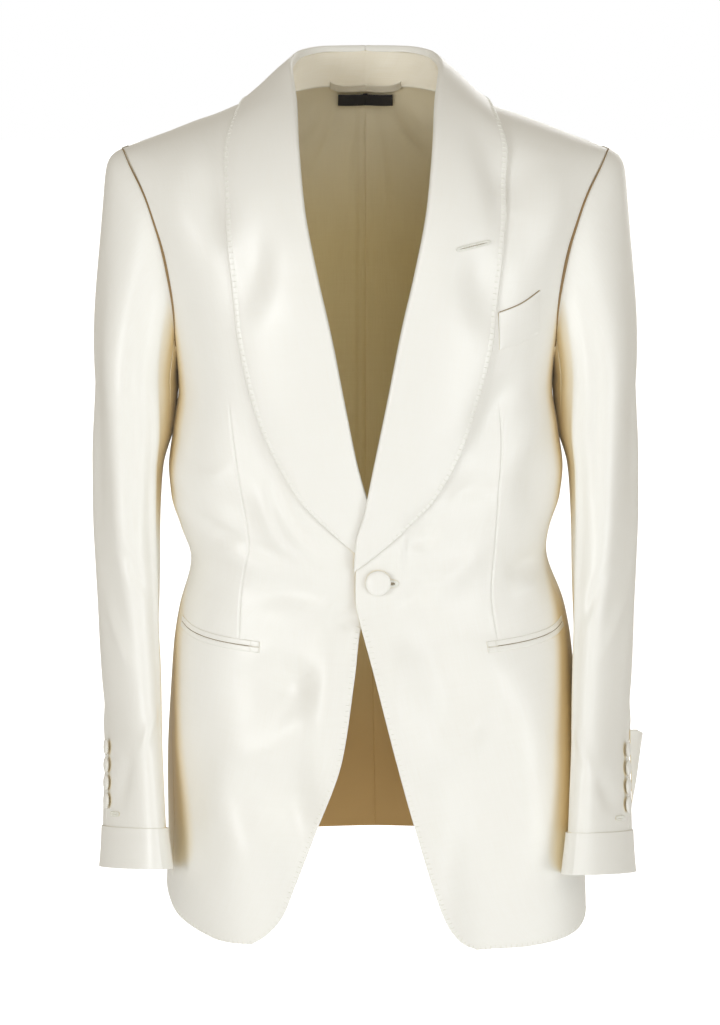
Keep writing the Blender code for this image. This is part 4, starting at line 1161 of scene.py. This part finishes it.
def on_face(points, x, z):
    """The grid's point nearest to x and z on the jacket's front, and its normal."""
    normals = grid_normals(points)
    apart = np.hypot(points[..., 0] - x * MM, points[..., 2] - z * MM) + (points[..., 1] > 0)
    row, column = np.unravel_index(np.argmin(apart), apart.shape)
    return points[row, column], normals[row, column]


def oval_path(half_length, half_width, count=64):
    """A closed stadium-like loop: the length by the cosine, the width by the sine, squared off."""
    turn = np.linspace(0, 2 * math.pi, count, endpoint=False)
    across, down = superellipse(turn, 3.2)
    return np.stack([half_length * down, half_width * across, 0 * turn], axis=-1)


def worked_buttonhole(at, normal, direction, rim, slit, thread):
    """A hand-worked buttonhole of a rim's half length and half width: a cord laid round it and
    threads that cross the cord side by side; and a thin dark lens of the slit's size, painted
    shadow in the slit."""
    first = unit(np.asarray(direction) - np.dot(direction, normal) * normal)
    axes = np.stack([first, np.cross(normal, first), normal])
    path = oval_path(*rim)
    facing = np.broadcast_to(normal, path.shape)
    loop = tube(path @ axes + at + normal * thread * 0.5, facing, thread, closed=True)
    path = oval_path(*rim, int(4.2 * rim[0] / THREAD_PITCH))
    ahead = np.roll(path, -1, axis=0) - np.roll(path, 1, axis=0)
    across = unit(np.cross(ahead, (0, 0, 1))) @ axes
    bars = axes_along(across, np.broadcast_to(normal, across.shape))
    bar = stitch_shape(4.0 * thread, THREAD_RADIUS)
    threads = copies(*bar, path @ axes + at + normal * thread * 1.15, bars)
    lens, faces = revolved([0, 0.6, 0.9, 1, 0.9, 0.6, 0], [1, 0.8, 0.45, 0, -0.45, -0.8, -1], 32)
    lens = lens * (*slit, 0.35 * MM) @ axes + at + normal * 0.25 * MM
    return [loop, threads], (lens, faces)


def line_inside(points, first_border=True):
    """The line of stitches across a grid's rows, at its distance from the border that their first
    or last point lies on, with the normals there."""
    normals = grid_normals(points)
    if not first_border:
        points, normals = points[:, ::-1], normals[:, ::-1]
    run = running(points, 1)
    low = np.clip(np.sum(run < STITCH_INSET, axis=1) - 1, 0, points.shape[1] - 2)
    row = np.arange(len(points))
    part = ((STITCH_INSET - run[row, low]) / (run[row, low + 1] - run[row, low]))[:, None]
    line = points[row, low] * (1 - part) + points[row, low + 1] * part
    return line, unit(normals[row, low] * (1 - part) + normals[row, low + 1] * part)


def stitched_line(line, normals):
    """Pick stitches that cross a line beside an edge, one a pitch from the next."""
    run = running(line[:, None], 0)[:, 0]
    at = np.arange(STITCH_PITCH / 2, run[-1], STITCH_PITCH)
    centre, ahead, facing = (
        np.stack([np.interp(where, run, values[:, k]) for k in range(3)], axis=-1)
        for where, values in ((at, line), (at + 0.5 * MM, line), (at, normals))
    )
    base, faces = stitch_shape(STITCH_LENGTH, STITCH_RADIUS)
    return copies(base, faces, centre, axes_along(np.cross(ahead - centre, facing), facing))


def lining_points(hand):
    """The back lining's outer face: the back's patch, drawn in by the lining's ease, with a pleat
    down the centre and soft folds that fall from the neck."""
    u = fractions(64, 0.2)[None, :] * 0.816 - 0.006
    v = (0.001 + 0.999 * fractions(116, 0.72))[:, None]
    u, v = np.broadcast_arrays(u, v)
    angle, rise = blended(*back_seams(hand), u, v)
    at = form(angle, rise)
    x, z = at[..., 0], at[..., 2]
    beside = np.abs(x) / MM
    pleat = 3.4 * bell(beside, 2.6, 4.5) if hand < 0 else 1.2 * bell(beside, 5)
    length = eased((z / MM + 560) / 200)
    folds = 1.7 * fold_height(x, z, LINING_FOLDS) + ripple(angle / 4.2, rise / (17 * MM), 0.5 * MM)
    away = np.clip(border_distance(at) / (10 * MM), 0, 1)
    inwards = folds * away + pleat * length * MM
    followed = np.minimum(folds_on_form(angle, rise), 0)
    inside = followed - CLOTH - LINING_GAP - inwards
    return form(angle, rise) + outward(angle, rise) * inside[..., None]


def hanger_lift(s, z):
    """The loop's height off the lining: it bows out, sewn down at its two ends, a little uneven."""
    return (HANGER_LOOP_LIFT - 5.2 * s**6) * MM + ripple(s * 5, z, 0.3 * MM)


def neck_band(table, lift):
    """A narrow band inside the back neck, between a top and a bottom height."""
    x = np.linspace(-1, 1, 70)[None, :] * table["half_width"]
    z = np.linspace(table["top"], table["bottom"], 14)[:, None]
    angle, rise = place(x + 0 * z, z + 0 * x, 1, -1)
    inside = CLOTH + LINING_GAP + LINING_CLOTH + lift(x / table["half_width"], z)
    return form(angle, rise) - outward(angle, rise) * (inside + 0 * rise)[..., None]


# ---------------------------------------------------------------- materials


def feed(tree, node, sockets):
    """Sets each input socket of a node to a value, or links it from the output that feeds it."""
    for label, value in sockets.items():
        if isinstance(value, bpy.types.NodeSocket):
            tree.links.new(value, node.inputs[label])
        else:
            node.inputs[label].default_value = value
    return node


def add_node(tree, kind, sockets=None, **settings):
    """A new shader node, with its settings and its input sockets."""
    made = tree.nodes.new(f"ShaderNode{kind}")
    for label, value in settings.items():
        setattr(made, label, value)
    return feed(tree, made, sockets or {})


def tinted(tree, factor, first, second):
    """The colour between two, each a colour or the output that gives one."""
    sockets = {"Factor": factor, "A": first, "B": second}
    return add_node(tree, "Mix", sockets, data_type="RGBA").outputs["Result"]


def mapped(tree, value, first, last, most=1.0, easing="LINEAR"):
    """0 at the first value, most at the last one, and between them between."""
    sockets = {"Value": value, "From Min": first, "From Max": last, "To Max": most}
    return add_node(tree, "MapRange", sockets, interpolation_type=easing).outputs["Result"]


def weave_group():
    """Woven silk or lining: fine floats along the warp, long slubs, and a slow drift of tint."""
    if "woven_cloth" in bpy.data.node_groups:
        return bpy.data.node_groups["woven_cloth"]
    group = bpy.data.node_groups.new("woven_cloth", "ShaderNodeTree")
    given = {"Vector": "Vector", "Colour": "Color", "Shade": "Color"}
    given |= dict.fromkeys(("Roughness", "Float Length", "Float Width"), "Float")
    found = {"Colour": "Color", "Roughness": "Float", "Height": "Float"}
    for way, kinds in (("INPUT", given), ("OUTPUT", found)):
        for label, kind in kinds.items():
            group.interface.new_socket(label, in_out=way, socket_type=f"NodeSocket{kind}")
    given = group.nodes.new("NodeGroupInput").outputs
    found = group.nodes.new("NodeGroupOutput")

    def noise(detail, stretch):
        factors = {0: given["Vector"], 1: stretch}
        shaped = add_node(group, "VectorMath", factors, operation="MULTIPLY").outputs[0]
        sockets = {"Scale": 1.0, "Detail": detail, "Vector": shaped}
        return add_node(group, "TexNoise", sockets).outputs["Fac"]

    def plus(first, second, share):
        part = add_node(group, "Math", {0: second, 1: share}, operation="MULTIPLY").outputs[0]
        return add_node(group, "Math", {0: first, 1: part}, operation="ADD").outputs[0]

    length, width = given["Float Length"], given["Float Width"]
    floats = add_node(group, "CombineXYZ", {"X": width, "Y": length, "Z": length}).outputs[0]
    fine, slub = noise(1.0, floats), noise(2.0, (950.0, 34.0, 34.0))
    cross, drift = noise(2.0, (22.0, 700.0, 22.0)), noise(2.0, (7.0, 5.0, 6.0))
    both = plus(plus(0.0, slub, 0.55), cross, 0.3)
    amount = mapped(group, plus(both, drift, 0.5), 0.45, 0.95)
    feed(group, found, {
        "Colour": tinted(group, amount, given["Colour"], given["Shade"]),
        "Roughness": plus(given["Roughness"], both, 0.12),
        "Height": plus(plus(0.0, fine, 0.6), both, 0.5),
    })
    return group


WEAVE_DEPTH = 0.02 * MM
SHEEN_ROUGHNESS = 0.35
SHEEN_TINT = (1.0, 0.97, 0.9, 1)
# Painted shade that darkens the lining at the hem and painted light that pales it at the neck,
# with the lengths between which each takes over, and how far the painted light does
LINING_PAINTED_SHADE, LINING_PAINTED_SHADE_REACH = (0.6, 0.38, 0.14, 1), (0.06, 0.34)
LINING_PAINTED_LIGHT, LINING_PAINTED_LIGHT_REACH, LINING_PAINTED_LIGHT_SHARE = (0.97, 0.9, 0.72, 1), (0.56, 0.73), 0.75
# Painted shade: the satin's warm, darker tint where another layer of it lies within reach, by how
# open the spot is
PAINTED_SHADE_TINT, PAINTED_SHADE_REACH, PAINTED_SHADE_OPEN = (0.88, 0.74, 0.47, 1), 36 * MM, (0.64, 0.24)


def cloth_material(name, colour, shade, roughness, sheen, weave, from_uv=True, lining=False,
                   painted_shade=False):
    """A woven finish: the weave group feeds the colour, roughness and bump; sheen stays plain. The
    lining has painted shade towards its bottom edge and painted light towards its top one. Where
    asked, painted shade tints the cloth warm and darker where another layer lies close."""
    made = bpy.data.materials.new(name)
    made.use_nodes = True
    tree = made.node_tree
    if from_uv:
        vector = add_node(tree, "UVMap", uv_map="cloth").outputs["UV"]
    else:
        vector = add_node(tree, "TexCoord").outputs["Object"]
    woven = add_node(tree, "Group", {
        "Vector": vector, "Colour": (*colour, 1), "Shade": (*shade, 1), "Roughness": roughness,
        "Float Length": weave[0], "Float Width": weave[1],
    }, node_tree=weave_group()).outputs
    base = woven["Colour"]
    # Painted shade towards the lining's bottom edge, painted light towards its top one
    if lining:
        up = add_node(tree, "SeparateXYZ", {0: vector}).outputs["Y"]
        share = mapped(tree, up, *LINING_PAINTED_SHADE_REACH, easing="SMOOTHSTEP")
        base = tinted(tree, share, LINING_PAINTED_SHADE, base)
        share = mapped(tree, up, *LINING_PAINTED_LIGHT_REACH, LINING_PAINTED_LIGHT_SHARE, "SMOOTHSTEP")
        base = tinted(tree, share, base, LINING_PAINTED_LIGHT)
    # Painted shade: warm and darker where the occlusion finds other cloth close by
    if painted_shade:
        near = add_node(tree, "AmbientOcclusion", {"Distance": PAINTED_SHADE_REACH}, samples=16)
        share = mapped(tree, near.outputs["AO"], *PAINTED_SHADE_OPEN)
        base = tinted(tree, share, base, PAINTED_SHADE_TINT)
    depth = {"Strength": 1.0, "Distance": WEAVE_DEPTH, "Height": woven["Height"]}
    feed(tree, tree.nodes["Principled BSDF"], {
        "Base Color": base,
        "Roughness": woven["Roughness"],
        "Normal": add_node(tree, "Bump", depth).outputs["Normal"],
        "Sheen Weight": sheen,
        "Sheen Roughness": SHEEN_ROUGHNESS,
        "Sheen Tint": SHEEN_TINT,
    })


def make_materials():
    """The finishes: satin with its painted shade, its facings, thread, lining with its painted
    light and shade, label, and the dark cloths of painted shadow in the seams, slits and pocket
    mouths.
    """
    cloth = bpy.context.scene.jacket_cloth
    ivory, shade = tuple(cloth.satin_colour), tuple(cloth.satin_shade)
    lining, deep = tuple(cloth.lining_colour), tuple(cloth.lining_shade)
    facing = tuple(c * 0.985 for c in ivory)
    thread = tuple(c * f for c, f in zip(shade, (0.9, 0.91, 0.86)))
    rough, sheen = cloth.satin_roughness, cloth.sheen
    weave = cloth.float_length, cloth.float_width
    dark, dim = (0.26, 0.18, 0.09), (0.38, 0.3, 0.19)
    # The body satin carries painted shade where other cloth lies close
    cloth_material(SATIN, ivory, shade, rough, sheen, weave, painted_shade=True)
    cloth_material(FACING, facing, shade, rough - 0.04, sheen, weave)
    cloth_material("neck_cream", (0.93, 0.885, 0.77), (0.89, 0.83, 0.68), 0.42, 0.2, weave)
    cloth_material("ivory_thread", facing, thread, 0.5, 0.2, (3000.0, 9000.0), from_uv=False)
    cloth_material("button_satin", ivory, shade, rough, sheen, (2600.0, 5200.0), from_uv=False)
    cloth_material("lining_twill", lining, deep, 0.48, 0.15, (1600.0, 2600.0), lining=True)
    cloth_material("label_weave", (0.012, 0.012, 0.014), (0.03, 0.03, 0.034), 0.62, 0.1,
                   (2200.0, 2400.0))
    # Dark cloths of painted shadow: the armhole seams' cord, and the slits and pocket mouths
    for name, colour, other in (
        ("seam_shadow", dark, (0.36, 0.23, 0.1)), ("painted_slit_shadow", dim, (0.28, 0.22, 0.14))
    ):
        cloth_material(name, colour, other, 0.8, 0.0, (1600.0, 1600.0), from_uv=False)


# ---------------------------------------------------------------- settings


def tint(name, description, default):
    return FloatVectorProperty(
        name=name, description=description, default=default, size=3, subtype="COLOR", min=0, max=1
    )


def spot(name, description, default):
    return FloatVectorProperty(
        name=name, description=description, default=default, size=3, subtype="TRANSLATION",
        unit="LENGTH",
    )


def amount(name, description, default, least=0, **kind):
    return FloatProperty(name=name, description=description, default=default, min=least, **kind)


class JacketCloth(bpy.types.PropertyGroup):
    """Colours, weave and folds of the jacket's cloth"""

    satin_colour: tint("Satin", "Colour of the ivory satin", (0.925, 0.922, 0.885))
    satin_shade: tint("Satin Shade", "Deeper tint that drifts through it", (0.9, 0.888, 0.835))
    satin_roughness: amount(
        "Satin Roughness", "How far the satin spreads its shine", 0.34, max=1, subtype="FACTOR"
    )
    sheen: amount(
        "Sheen", "Soft glow of the silk at glancing angles", 0.3, max=1, subtype="FACTOR"
    )
    float_length: amount("Floats Along", "Weave floats in a metre, along the warp", 900.0, 10)
    float_width: amount("Floats Across", "Weave floats in a metre, across the warp", 5200.0, 10)
    fold_size: amount("Fold Size", "How high the folds stand", 3.3, max=4)
    lining_colour: tint("Lining", "Colour of the cream lining", (0.96, 0.79, 0.43))
    lining_shade: tint("Lining Shade", "Deeper tint of the lining", (0.88, 0.7, 0.34))


class JacketStage(bpy.types.PropertyGroup):
    """Light, floor and camera"""

    floor_colour: tint("Floor", "Colour of the floor", (0.93, 0.935, 0.94))
    floor_glow: amount("Floor Glow", "How white the floor looks to the camera", 1.15)
    key_power: amount("Key Light", "Power of the light on the left", 26.0, unit="POWER")
    fill_power: amount("Fill Light", "Power of the light on the right", 19.0, unit="POWER")
    front_power: amount("Front Light", "Power of the light behind the camera", 12.0, unit="POWER")
    back_power: amount("Back Light", "Power of the light behind the jacket", 26.0, unit="POWER")
    surround: amount("Surround", "Strength of the light from all round", 0.41)
    camera_place: spot("Camera", "Where the camera stands", (-0.005, -2.35, 0.03))
    camera_target: spot("Target", "What the camera looks at", (-0.005, 0.0, -0.383))
    lens: amount("Lens", "Focal length in millimetres", 128.3, 10)


def sewn(name, points, thickness, finish, slot, stands_for, held, **edge):
    """Makes a cut piece of cloth: its shell, its finish and the solids that it stands for."""
    made = piece(name, shell(name, points, thickness, **edge), finish, slot, *stands_for)


def many(name, parts, finish, slot):
    """Makes one piece from many small shapes."""
    piece(name, new_mesh(name, *gathered(parts)), finish, slot)


FACES = {}  # the grids of faces that stitches and buttonholes are laid on


class JACKET_OT_fronts(bpy.types.Operator):
    """Build the two fronts, with their darts"""

    bl_idname = "jacket.fronts"
    bl_label = "Fronts"

    def execute(self, context):
        for hand, name in HANDS:
            label = f"front_{name}"
            FACES[label] = points = inset(front_points(hand))
            sewn(f"satin_{label}", points, CLOTH, SATIN, IVORY, [label], "stretched")
        return {"FINISHED"}


class JACKET_OT_backs(bpy.types.Operator):
    """Build the back and the panels under the arms"""

    bl_idname = "jacket.backs"
    bl_label = "Backs and Sides"

    def execute(self, context):
        for hand, name in HANDS:
            back = inset(plain_panel(back_seams(hand), 150, 66, 0.19, 0.72))
            side = inset(plain_panel(side_seams(hand), 110, 26, 0.12, 0.5))
            for label, points in (("back", back), ("side", side)):
                node = f"{label}_{name}"
                sewn(f"satin_{node}", points, CLOTH, SATIN, IVORY, [node], "draped")
        return {"FINISHED"}


class JACKET_OT_shawl_collar(bpy.types.Operator):
    """Build the shawl collar and the inside of its stand"""

    bl_idname = "jacket.shawl_collar"
    bl_label = "Shawl Collar"

    def execute(self, context):
        for hand, name in HANDS:
            label = f"shawl_{name}"
            FACES[label] = points = shawl_points(hand)
            roll = 1.3 * MM
            sewn(f"satin_{label}", points, SHAWL_CLOTH, FACING, IVORY, [label], "folded", roll=roll)
        sewn("satin_collar_stand", collar_stand_points(), CLOTH, "neck_cream", IVORY,
             ["collar_stand"], "folded", away_from=INSIDE_COLLAR)
        return {"FINISHED"}


class JACKET_OT_sleeves(bpy.types.Operator):
    """Build the two-piece sleeves and their turned-back cuffs"""

    bl_idname = "jacket.sleeves"
    bl_label = "Sleeves and Cuffs"

    def execute(self, context):
        tapes, grooves = [], []
        for hand, name in HANDS:
            for label, first, last, columns in (
                ("top_sleeve", "front_seam", "back_seam", 62),
                ("under_sleeve", "back_seam", "front_seam", 44),
            ):
                points = inset(sleeve_points(first, last, hand, columns))
                nodes = [f"{label}_{name}{part}" for part in SLEEVE_PARTS[label]]
                sewn(f"satin_{label}_{name}", points, CLOTH, SATIN, IVORY, nodes, "hung",
                     away_from=sleeve_axis(points, hand))
            tapes.append(armhole_tape(hand))
            grooves.append(armhole_shadow_cord(hand))
            band = cuff_points(hand)
            sewn(f"satin_cuff_{name}", band, CUFF_CLOTH, FACING, IVORY, [f"cuff_{name}"], "folded",
                 away_from=sleeve_axis(band, hand), ring=True, roll=0.6 * MM)
        many("armhole_tapes", tapes, "ivory_thread", IVORY)
        # Painted shadow in the armhole seams, a dark cord on each
        many("armhole_shadow_cords", grooves, "seam_shadow", CREAM)
        return {"FINISHED"}


class JACKET_OT_pockets(bpy.types.Operator):
    """Build the chest welt and the jetted hip pockets"""

    bl_idname = "jacket.pockets"
    bl_label = "Pockets"

    def execute(self, context):
        sewn("satin_chest_welt", welt_points(), WELT_CLOTH, SATIN, IVORY, ["chest_welt"], "folded",
             roll=0.5 * MM)
        # Dark cords above the welt and between each pocket's jets: the pockets' insides in painted
        # shadow
        x = np.linspace(WELT["x"][0] + 1, WELT["x"][-1] - 0.5, 40)
        angle, rise = place(x, smooth(x, WELT["x"], WELT["top"]) + 0.45)
        mouths = [cord(angle, rise, 1, 0.3 * MM, 0.26 * MM)]
        first, last = HIP_POCKET["angle"][0], HIP_POCKET["angle"][-1]
        for hand, name in HANDS:
            for which, bottom, top in (("upper", MOUTH, JET), ("lower", -JET, -MOUTH)):
                label = f"jet_{which}_{name}"
                sewn(f"satin_{label}", jet_points(hand, bottom, top), JET_CLOTH, FACING, IVORY,
                     [f"hip_{label}"], "folded", roll=0.6 * MM)
            angle = np.linspace(first + 2.9, last - 0.3, 60)
            mouths.append(cord(hand * angle, pocket_rise(angle), hand, 0.35 * MM, 0.27 * MM, 0.7))
        many("pocket_mouths", mouths, "painted_slit_shadow", CREAM)
        tacks = []
        for hand, _ in HANDS:
            for end in (first + 0.25, first + 2.6):
                rise = pocket_rise(end) + np.linspace(-JET, JET, 24)
                tacks.append(cord(hand * end + 0 * rise, rise, hand, 1.0 * MM, THREAD_RADIUS))
        many("pocket_tacks", tacks, "ivory_thread", IVORY)
        return {"FINISHED"}


class JACKET_OT_buttons(bpy.types.Operator):
    """Build the covered front and sleeve buttons"""

    bl_idname = "jacket.buttons"
    bl_label = "Buttons"

    def execute(self, context):
        angle, rise = place(FRONT_BUTTON["x"], FRONT_BUTTON["z"])
        at = draped(angle, rise, front_out(angle, rise, 1, TRIM_LIFT))
        shape = covered_button(FRONT_BUTTON_RADIUS, FRONT_BUTTON_HEIGHT)
        button_at(shape, at, outward(angle, rise), "front_button")
        turn = np.array(float(SLEEVE_BUTTON_TURN))
        shape = covered_button(SLEEVE_BUTTON_RADIUS, SLEEVE_BUTTON_HEIGHT)
        for hand, name in HANDS:
            for number, z in enumerate(SLEEVE_BUTTON_Z, 1):
                level_z = np.array(z * MM)
                at = sleeve_ring(turn, level_z, hand, TRIM_LIFT)
                facing = sleeve_ring(turn, level_z, hand, 4 * TRIM_LIFT) - at
                button_at(shape, at, facing, f"sleeve_button_{name}_{number}")
        return {"FINISHED"}


class JACKET_OT_buttonholes(bpy.types.Operator):
    """Work the buttonholes of the lapel, the front and the cuffs' vents"""

    bl_idname = "jacket.buttonholes"
    bl_label = "Buttonholes"

    def execute(self, context):
        holes = [
            (*on_face(FACES["shawl_left"], 93, -127), (30, 0, 6), (15.5, 1.15), (14.5, 0.8), 0.7),
            (*on_face(FACES["front_left"], 17.5, -423), (30, 0, 0), (9.0, 2.4), (8.2, 1.5), 0.9),
        ]
        turn = np.array(float(SLEEVE_HOLE_TURN))
        for hand, _ in HANDS:
            level_z = np.array(SLEEVE_HOLE_Z * MM)
            at = sleeve_ring(turn, level_z, hand, 0.5 * MM)
            normal = unit(sleeve_ring(turn, level_z, hand, 4 * MM) - at)
            ahead = sleeve_ring(turn - 4, level_z, hand, 0.5 * MM) - at
            holes.append((at, normal, ahead, (6.5, 1.0), (5.6, 0.9), 0.8))
        threads, slits = [], []
        for at, normal, ahead, rim, inner, thread in holes:
            sizes = (np.array(rim) * MM, np.array(inner) * MM, thread * MM)
            rims, lens = worked_buttonhole(at, normal, ahead, *sizes)
            threads += rims
            slits.append(lens)
        share = np.linspace(0, 1, 24)
        x, z = 10.5 - 6.5 * share, np.linspace(-416, -399, 24) + 2.5 * np.sin(math.pi * share)
        threads.insert(4, cord(*place(x, z, -1), 1, 0.1 * MM, 0.4 * MM))
        many("buttonhole_threads", threads, "ivory_thread", IVORY)
        # The slits' dark lenses are painted shadow
        many("buttonhole_slits", slits, "painted_slit_shadow", CREAM)
        return {"FINISHED"}


class JACKET_OT_pick_stitching(bpy.types.Operator):
    """Sew the fine stitches inside the collar's edge and the fronts' edges"""

    bl_idname = "jacket.pick_stitching"
    bl_label = "Pick Stitching"

    def execute(self, context):
        for _, name in HANDS:
            collar, front = FACES[f"shawl_{name}"], FACES[f"front_{name}"]
            line, normals = line_inside(collar[24:], first_border=False)
            stitches = [stitched_line(line + normals * 0.05 * MM, normals)]
            line, normals = line_inside(front)
            low = line[:, 2] < BELOW_BUTTON_Z
            stitches.append(stitched_line(line[low][3:], normals[low][3:]))
            line, normals = line_inside(front.swapaxes(0, 1))
            stitches.append(stitched_line(line[7:-4], normals[7:-4]))
            many(f"pick_stitches_{name}", stitches, "ivory_thread", IVORY)
        return {"FINISHED"}


class JACKET_OT_vent(bpy.types.Operator):
    """Build the underlap of the left sleeve's vent"""

    bl_idname = "jacket.vent"
    bl_label = "Vent Underlap"

    def execute(self, context):
        z = np.linspace(VENT_UNDERLAP["top"], VENT_UNDERLAP["bottom"], 60) * MM
        turn = sleeve_level(z, "back_seam") + 10
        down = np.linspace(0, 1, 60)
        taper = np.maximum((1 - down) ** 0.85, 0.06) * (0.55 + 0.45 * eased(down / 0.05))
        width = VENT_UNDERLAP["width"] * MM * taper
        root = sleeve_ring(turn, z, 1, TRIM_LIFT)
        share = np.linspace(0, 1, 24)[None, :, None]
        out = width[:, None, None]
        bow = 0.6 * MM * np.sin(3.1 * share) * out / 0.013
        points = root[:, None] + share * out * np.array([1, 0, 0]) + np.array([0, 1, 0]) * bow
        sewn("satin_vent_underlap", points, CLOTH, SATIN, IVORY, ["vent_flap_left"], "folded",
             away_from=(0.2, 2, -0.6), roll=0.9 * MM)
        return {"FINISHED"}


class JACKET_OT_inside(bpy.types.Operator):
    """Build the back lining, the hanger loop and the bare label"""

    bl_idname = "jacket.inside"
    bl_label = "Inside of the Back"

    def execute(self, context):
        for hand, name in HANDS:
            points = inset(lining_points(hand), 0.05 * MM)
            sewn(f"twill_lining_{name}", points, LINING_CLOTH, "lining_twill", CREAM,
                 [f"back_lining_{name}"], "hung", roll=0.8 * MM)
        loop = neck_band(HANGER_LOOP, hanger_lift)
        label = neck_band(NECK_LABEL, lambda s, z: (NECK_LABEL_LIFT - 1.2 * s**4) * MM)
        for name, points, finish, slot, node in (
            ("satin_hanger_loop", loop, "neck_cream", IVORY, "hanger_loop"),
            ("bare_neck_label", label, "label_weave", "black_label", "neck_label"),
        ):
            sewn(name, points, LINING_CLOTH, finish, slot, [node], "folded", roll=0.7 * MM)
        return {"FINISHED"}


JACKET_MIDDLE = (0, 0, -0.38)


class JACKET_OT_stage(bpy.types.Operator):
    """Set the floor, the light and the camera"""

    bl_idname = "jacket.stage"
    bl_label = "Stage"

    def execute(self, context):
        stage = context.scene.jacket_stage
        floor = pale_floor(stage)
        for name, spot_at, size, power, colour in (
            ("key", (-1.8, -2.35, -0.1), 0.9, stage.key_power, (0.93, 0.965, 1.0)),
            ("fill", (2.0, -2.2, -0.6), 1.0, stage.fill_power, (0.9, 0.95, 1.0)),
            ("front", (0.5, -2.7, 0.7), 1.2, stage.front_power, (0.93, 0.965, 1.0)),
            ("back", (0.5, 2.8, 0.5), 1.8, stage.back_power, (0.95, 0.975, 1.0)),
        ):
            light = bpy.data.lights.new(name, "AREA")
            light.shape, light.size, light.energy, light.color = "SQUARE", size, power, colour
            aimed(name, light, spot_at, JACKET_MIDDLE)
        world = bpy.data.worlds.new("studio")
        world.use_nodes = True
        tree = world.node_tree
        warm = {"Color": (1.0, 0.91, 0.76, 1), "Strength": stage.surround}
        around = feed(tree, tree.nodes["Background"], warm)
        white = add_node(tree, "Background", {"Color": (1.0, 1.0, 1.0, 1)})
        shown = {"Fac": bright_to_camera(tree, 1), 1: around.outputs[0], 2: white.outputs[0]}
        both = add_node(tree, "MixShader", shown)
        feed(tree, tree.nodes["World Output"], {"Surface": both.outputs[0]})
        context.scene.world = world
        context.scene.view_settings.view_transform = "Standard"
        lens = bpy.data.cameras.new("camera")
        lens.lens, lens.sensor_width, lens.sensor_fit = stage.lens, 36, "HORIZONTAL"
        context.scene.camera = aimed("camera", lens, stage.camera_place, stage.camera_target)
        return {"FINISHED"}


def aimed(name, data, at, target):
    """A lamp or camera at one place that looks at another."""
    made = bpy.data.objects.new(name, data)
    made.location = at
    aim = Vector(target) - made.location
    made.rotation_euler = aim.to_track_quat("-Z", "Y").to_euler()
    bpy.context.scene.collection.objects.link(made)
    return made


def bright_to_camera(tree, power):
    """A strength that is the power where the camera looks straight at it, and 0 elsewhere."""
    seen = add_node(tree, "LightPath").outputs["Is Camera Ray"]
    return mapped(tree, seen, 0, 1, power)


def pale_floor(stage):
    """A wide level floor well below the jacket, with a faint unevenness of tint. Its white glow is
    for the camera alone, and lights nothing."""
    half, low = 40.0, -1.25
    side = np.linspace(-half, half, 9)
    points = np.stack(np.broadcast_arrays(side[None, :], side[:, None], low), axis=-1)
    number = np.arange(81).reshape(9, 9)
    mesh = new_mesh("floor", points, quads(number[:, :-1], number[:, 1:]))
    made = bpy.data.objects.new("floor", mesh)
    bpy.context.scene.collection.objects.link(made)
    paint = bpy.data.materials.new("pale_floor")
    paint.use_nodes = True
    tree = paint.node_tree
    place_on = add_node(tree, "TexCoord").outputs["Object"]
    noise = add_node(tree, "TexNoise", {"Scale": 3.0, "Vector": place_on}).outputs["Fac"]
    colour = tuple(stage.floor_colour)
    tint_of = tinted(tree, noise, (*colour, 1), (*(c * 0.985 for c in colour), 1))
    feed(tree, tree.nodes["Principled BSDF"], {
        "Base Color": tint_of,
        "Emission Color": tint_of,
        "Emission Strength": bright_to_camera(tree, stage.floor_glow),
        "Roughness": 0.9,
    })
    mesh.materials.append(paint)
    return made


BUILDERS = (
    JACKET_OT_fronts, JACKET_OT_backs, JACKET_OT_shawl_collar, JACKET_OT_sleeves, JACKET_OT_pockets,
    JACKET_OT_buttons, JACKET_OT_buttonholes, JACKET_OT_pick_stitching, JACKET_OT_vent,
    JACKET_OT_inside, JACKET_OT_stage,
)


class JACKET_PT_sidebar(bpy.types.Panel):
    """Lists the jacket's builders and settings"""

    bl_label = "Dinner Jacket"
    bl_idname = "JACKET_PT_sidebar"
    bl_space_type = "VIEW_3D"
    bl_region_type = "UI"
    bl_category = "Jacket"

    def draw(self, context):
        for settings in (context.scene.jacket_cloth, context.scene.jacket_stage):
            for name in settings.__annotations__:
                self.layout.prop(settings, name)
        for builder in BUILDERS:
            self.layout.operator(builder.bl_idname)


CLASSES = (JacketCloth, JacketStage, *BUILDERS, JACKET_PT_sidebar)


def register():
    for made in CLASSES:
        bpy.utils.register_class(made)
    bpy.types.Scene.jacket_cloth = PointerProperty(type=JacketCloth)
    bpy.types.Scene.jacket_stage = PointerProperty(type=JacketStage)


def unregister():
    del bpy.types.Scene.jacket_cloth
    del bpy.types.Scene.jacket_stage
    for made in reversed(CLASSES):
        bpy.utils.unregister_class(made)


def main():
    """Builds every piece and the stage."""
    register()
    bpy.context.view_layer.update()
    make_materials()
    for builder in BUILDERS:
        area, name = builder.bl_idname.split(".")
        getattr(getattr(bpy.ops, area), name)()


if __name__ == "__main__":
    main()
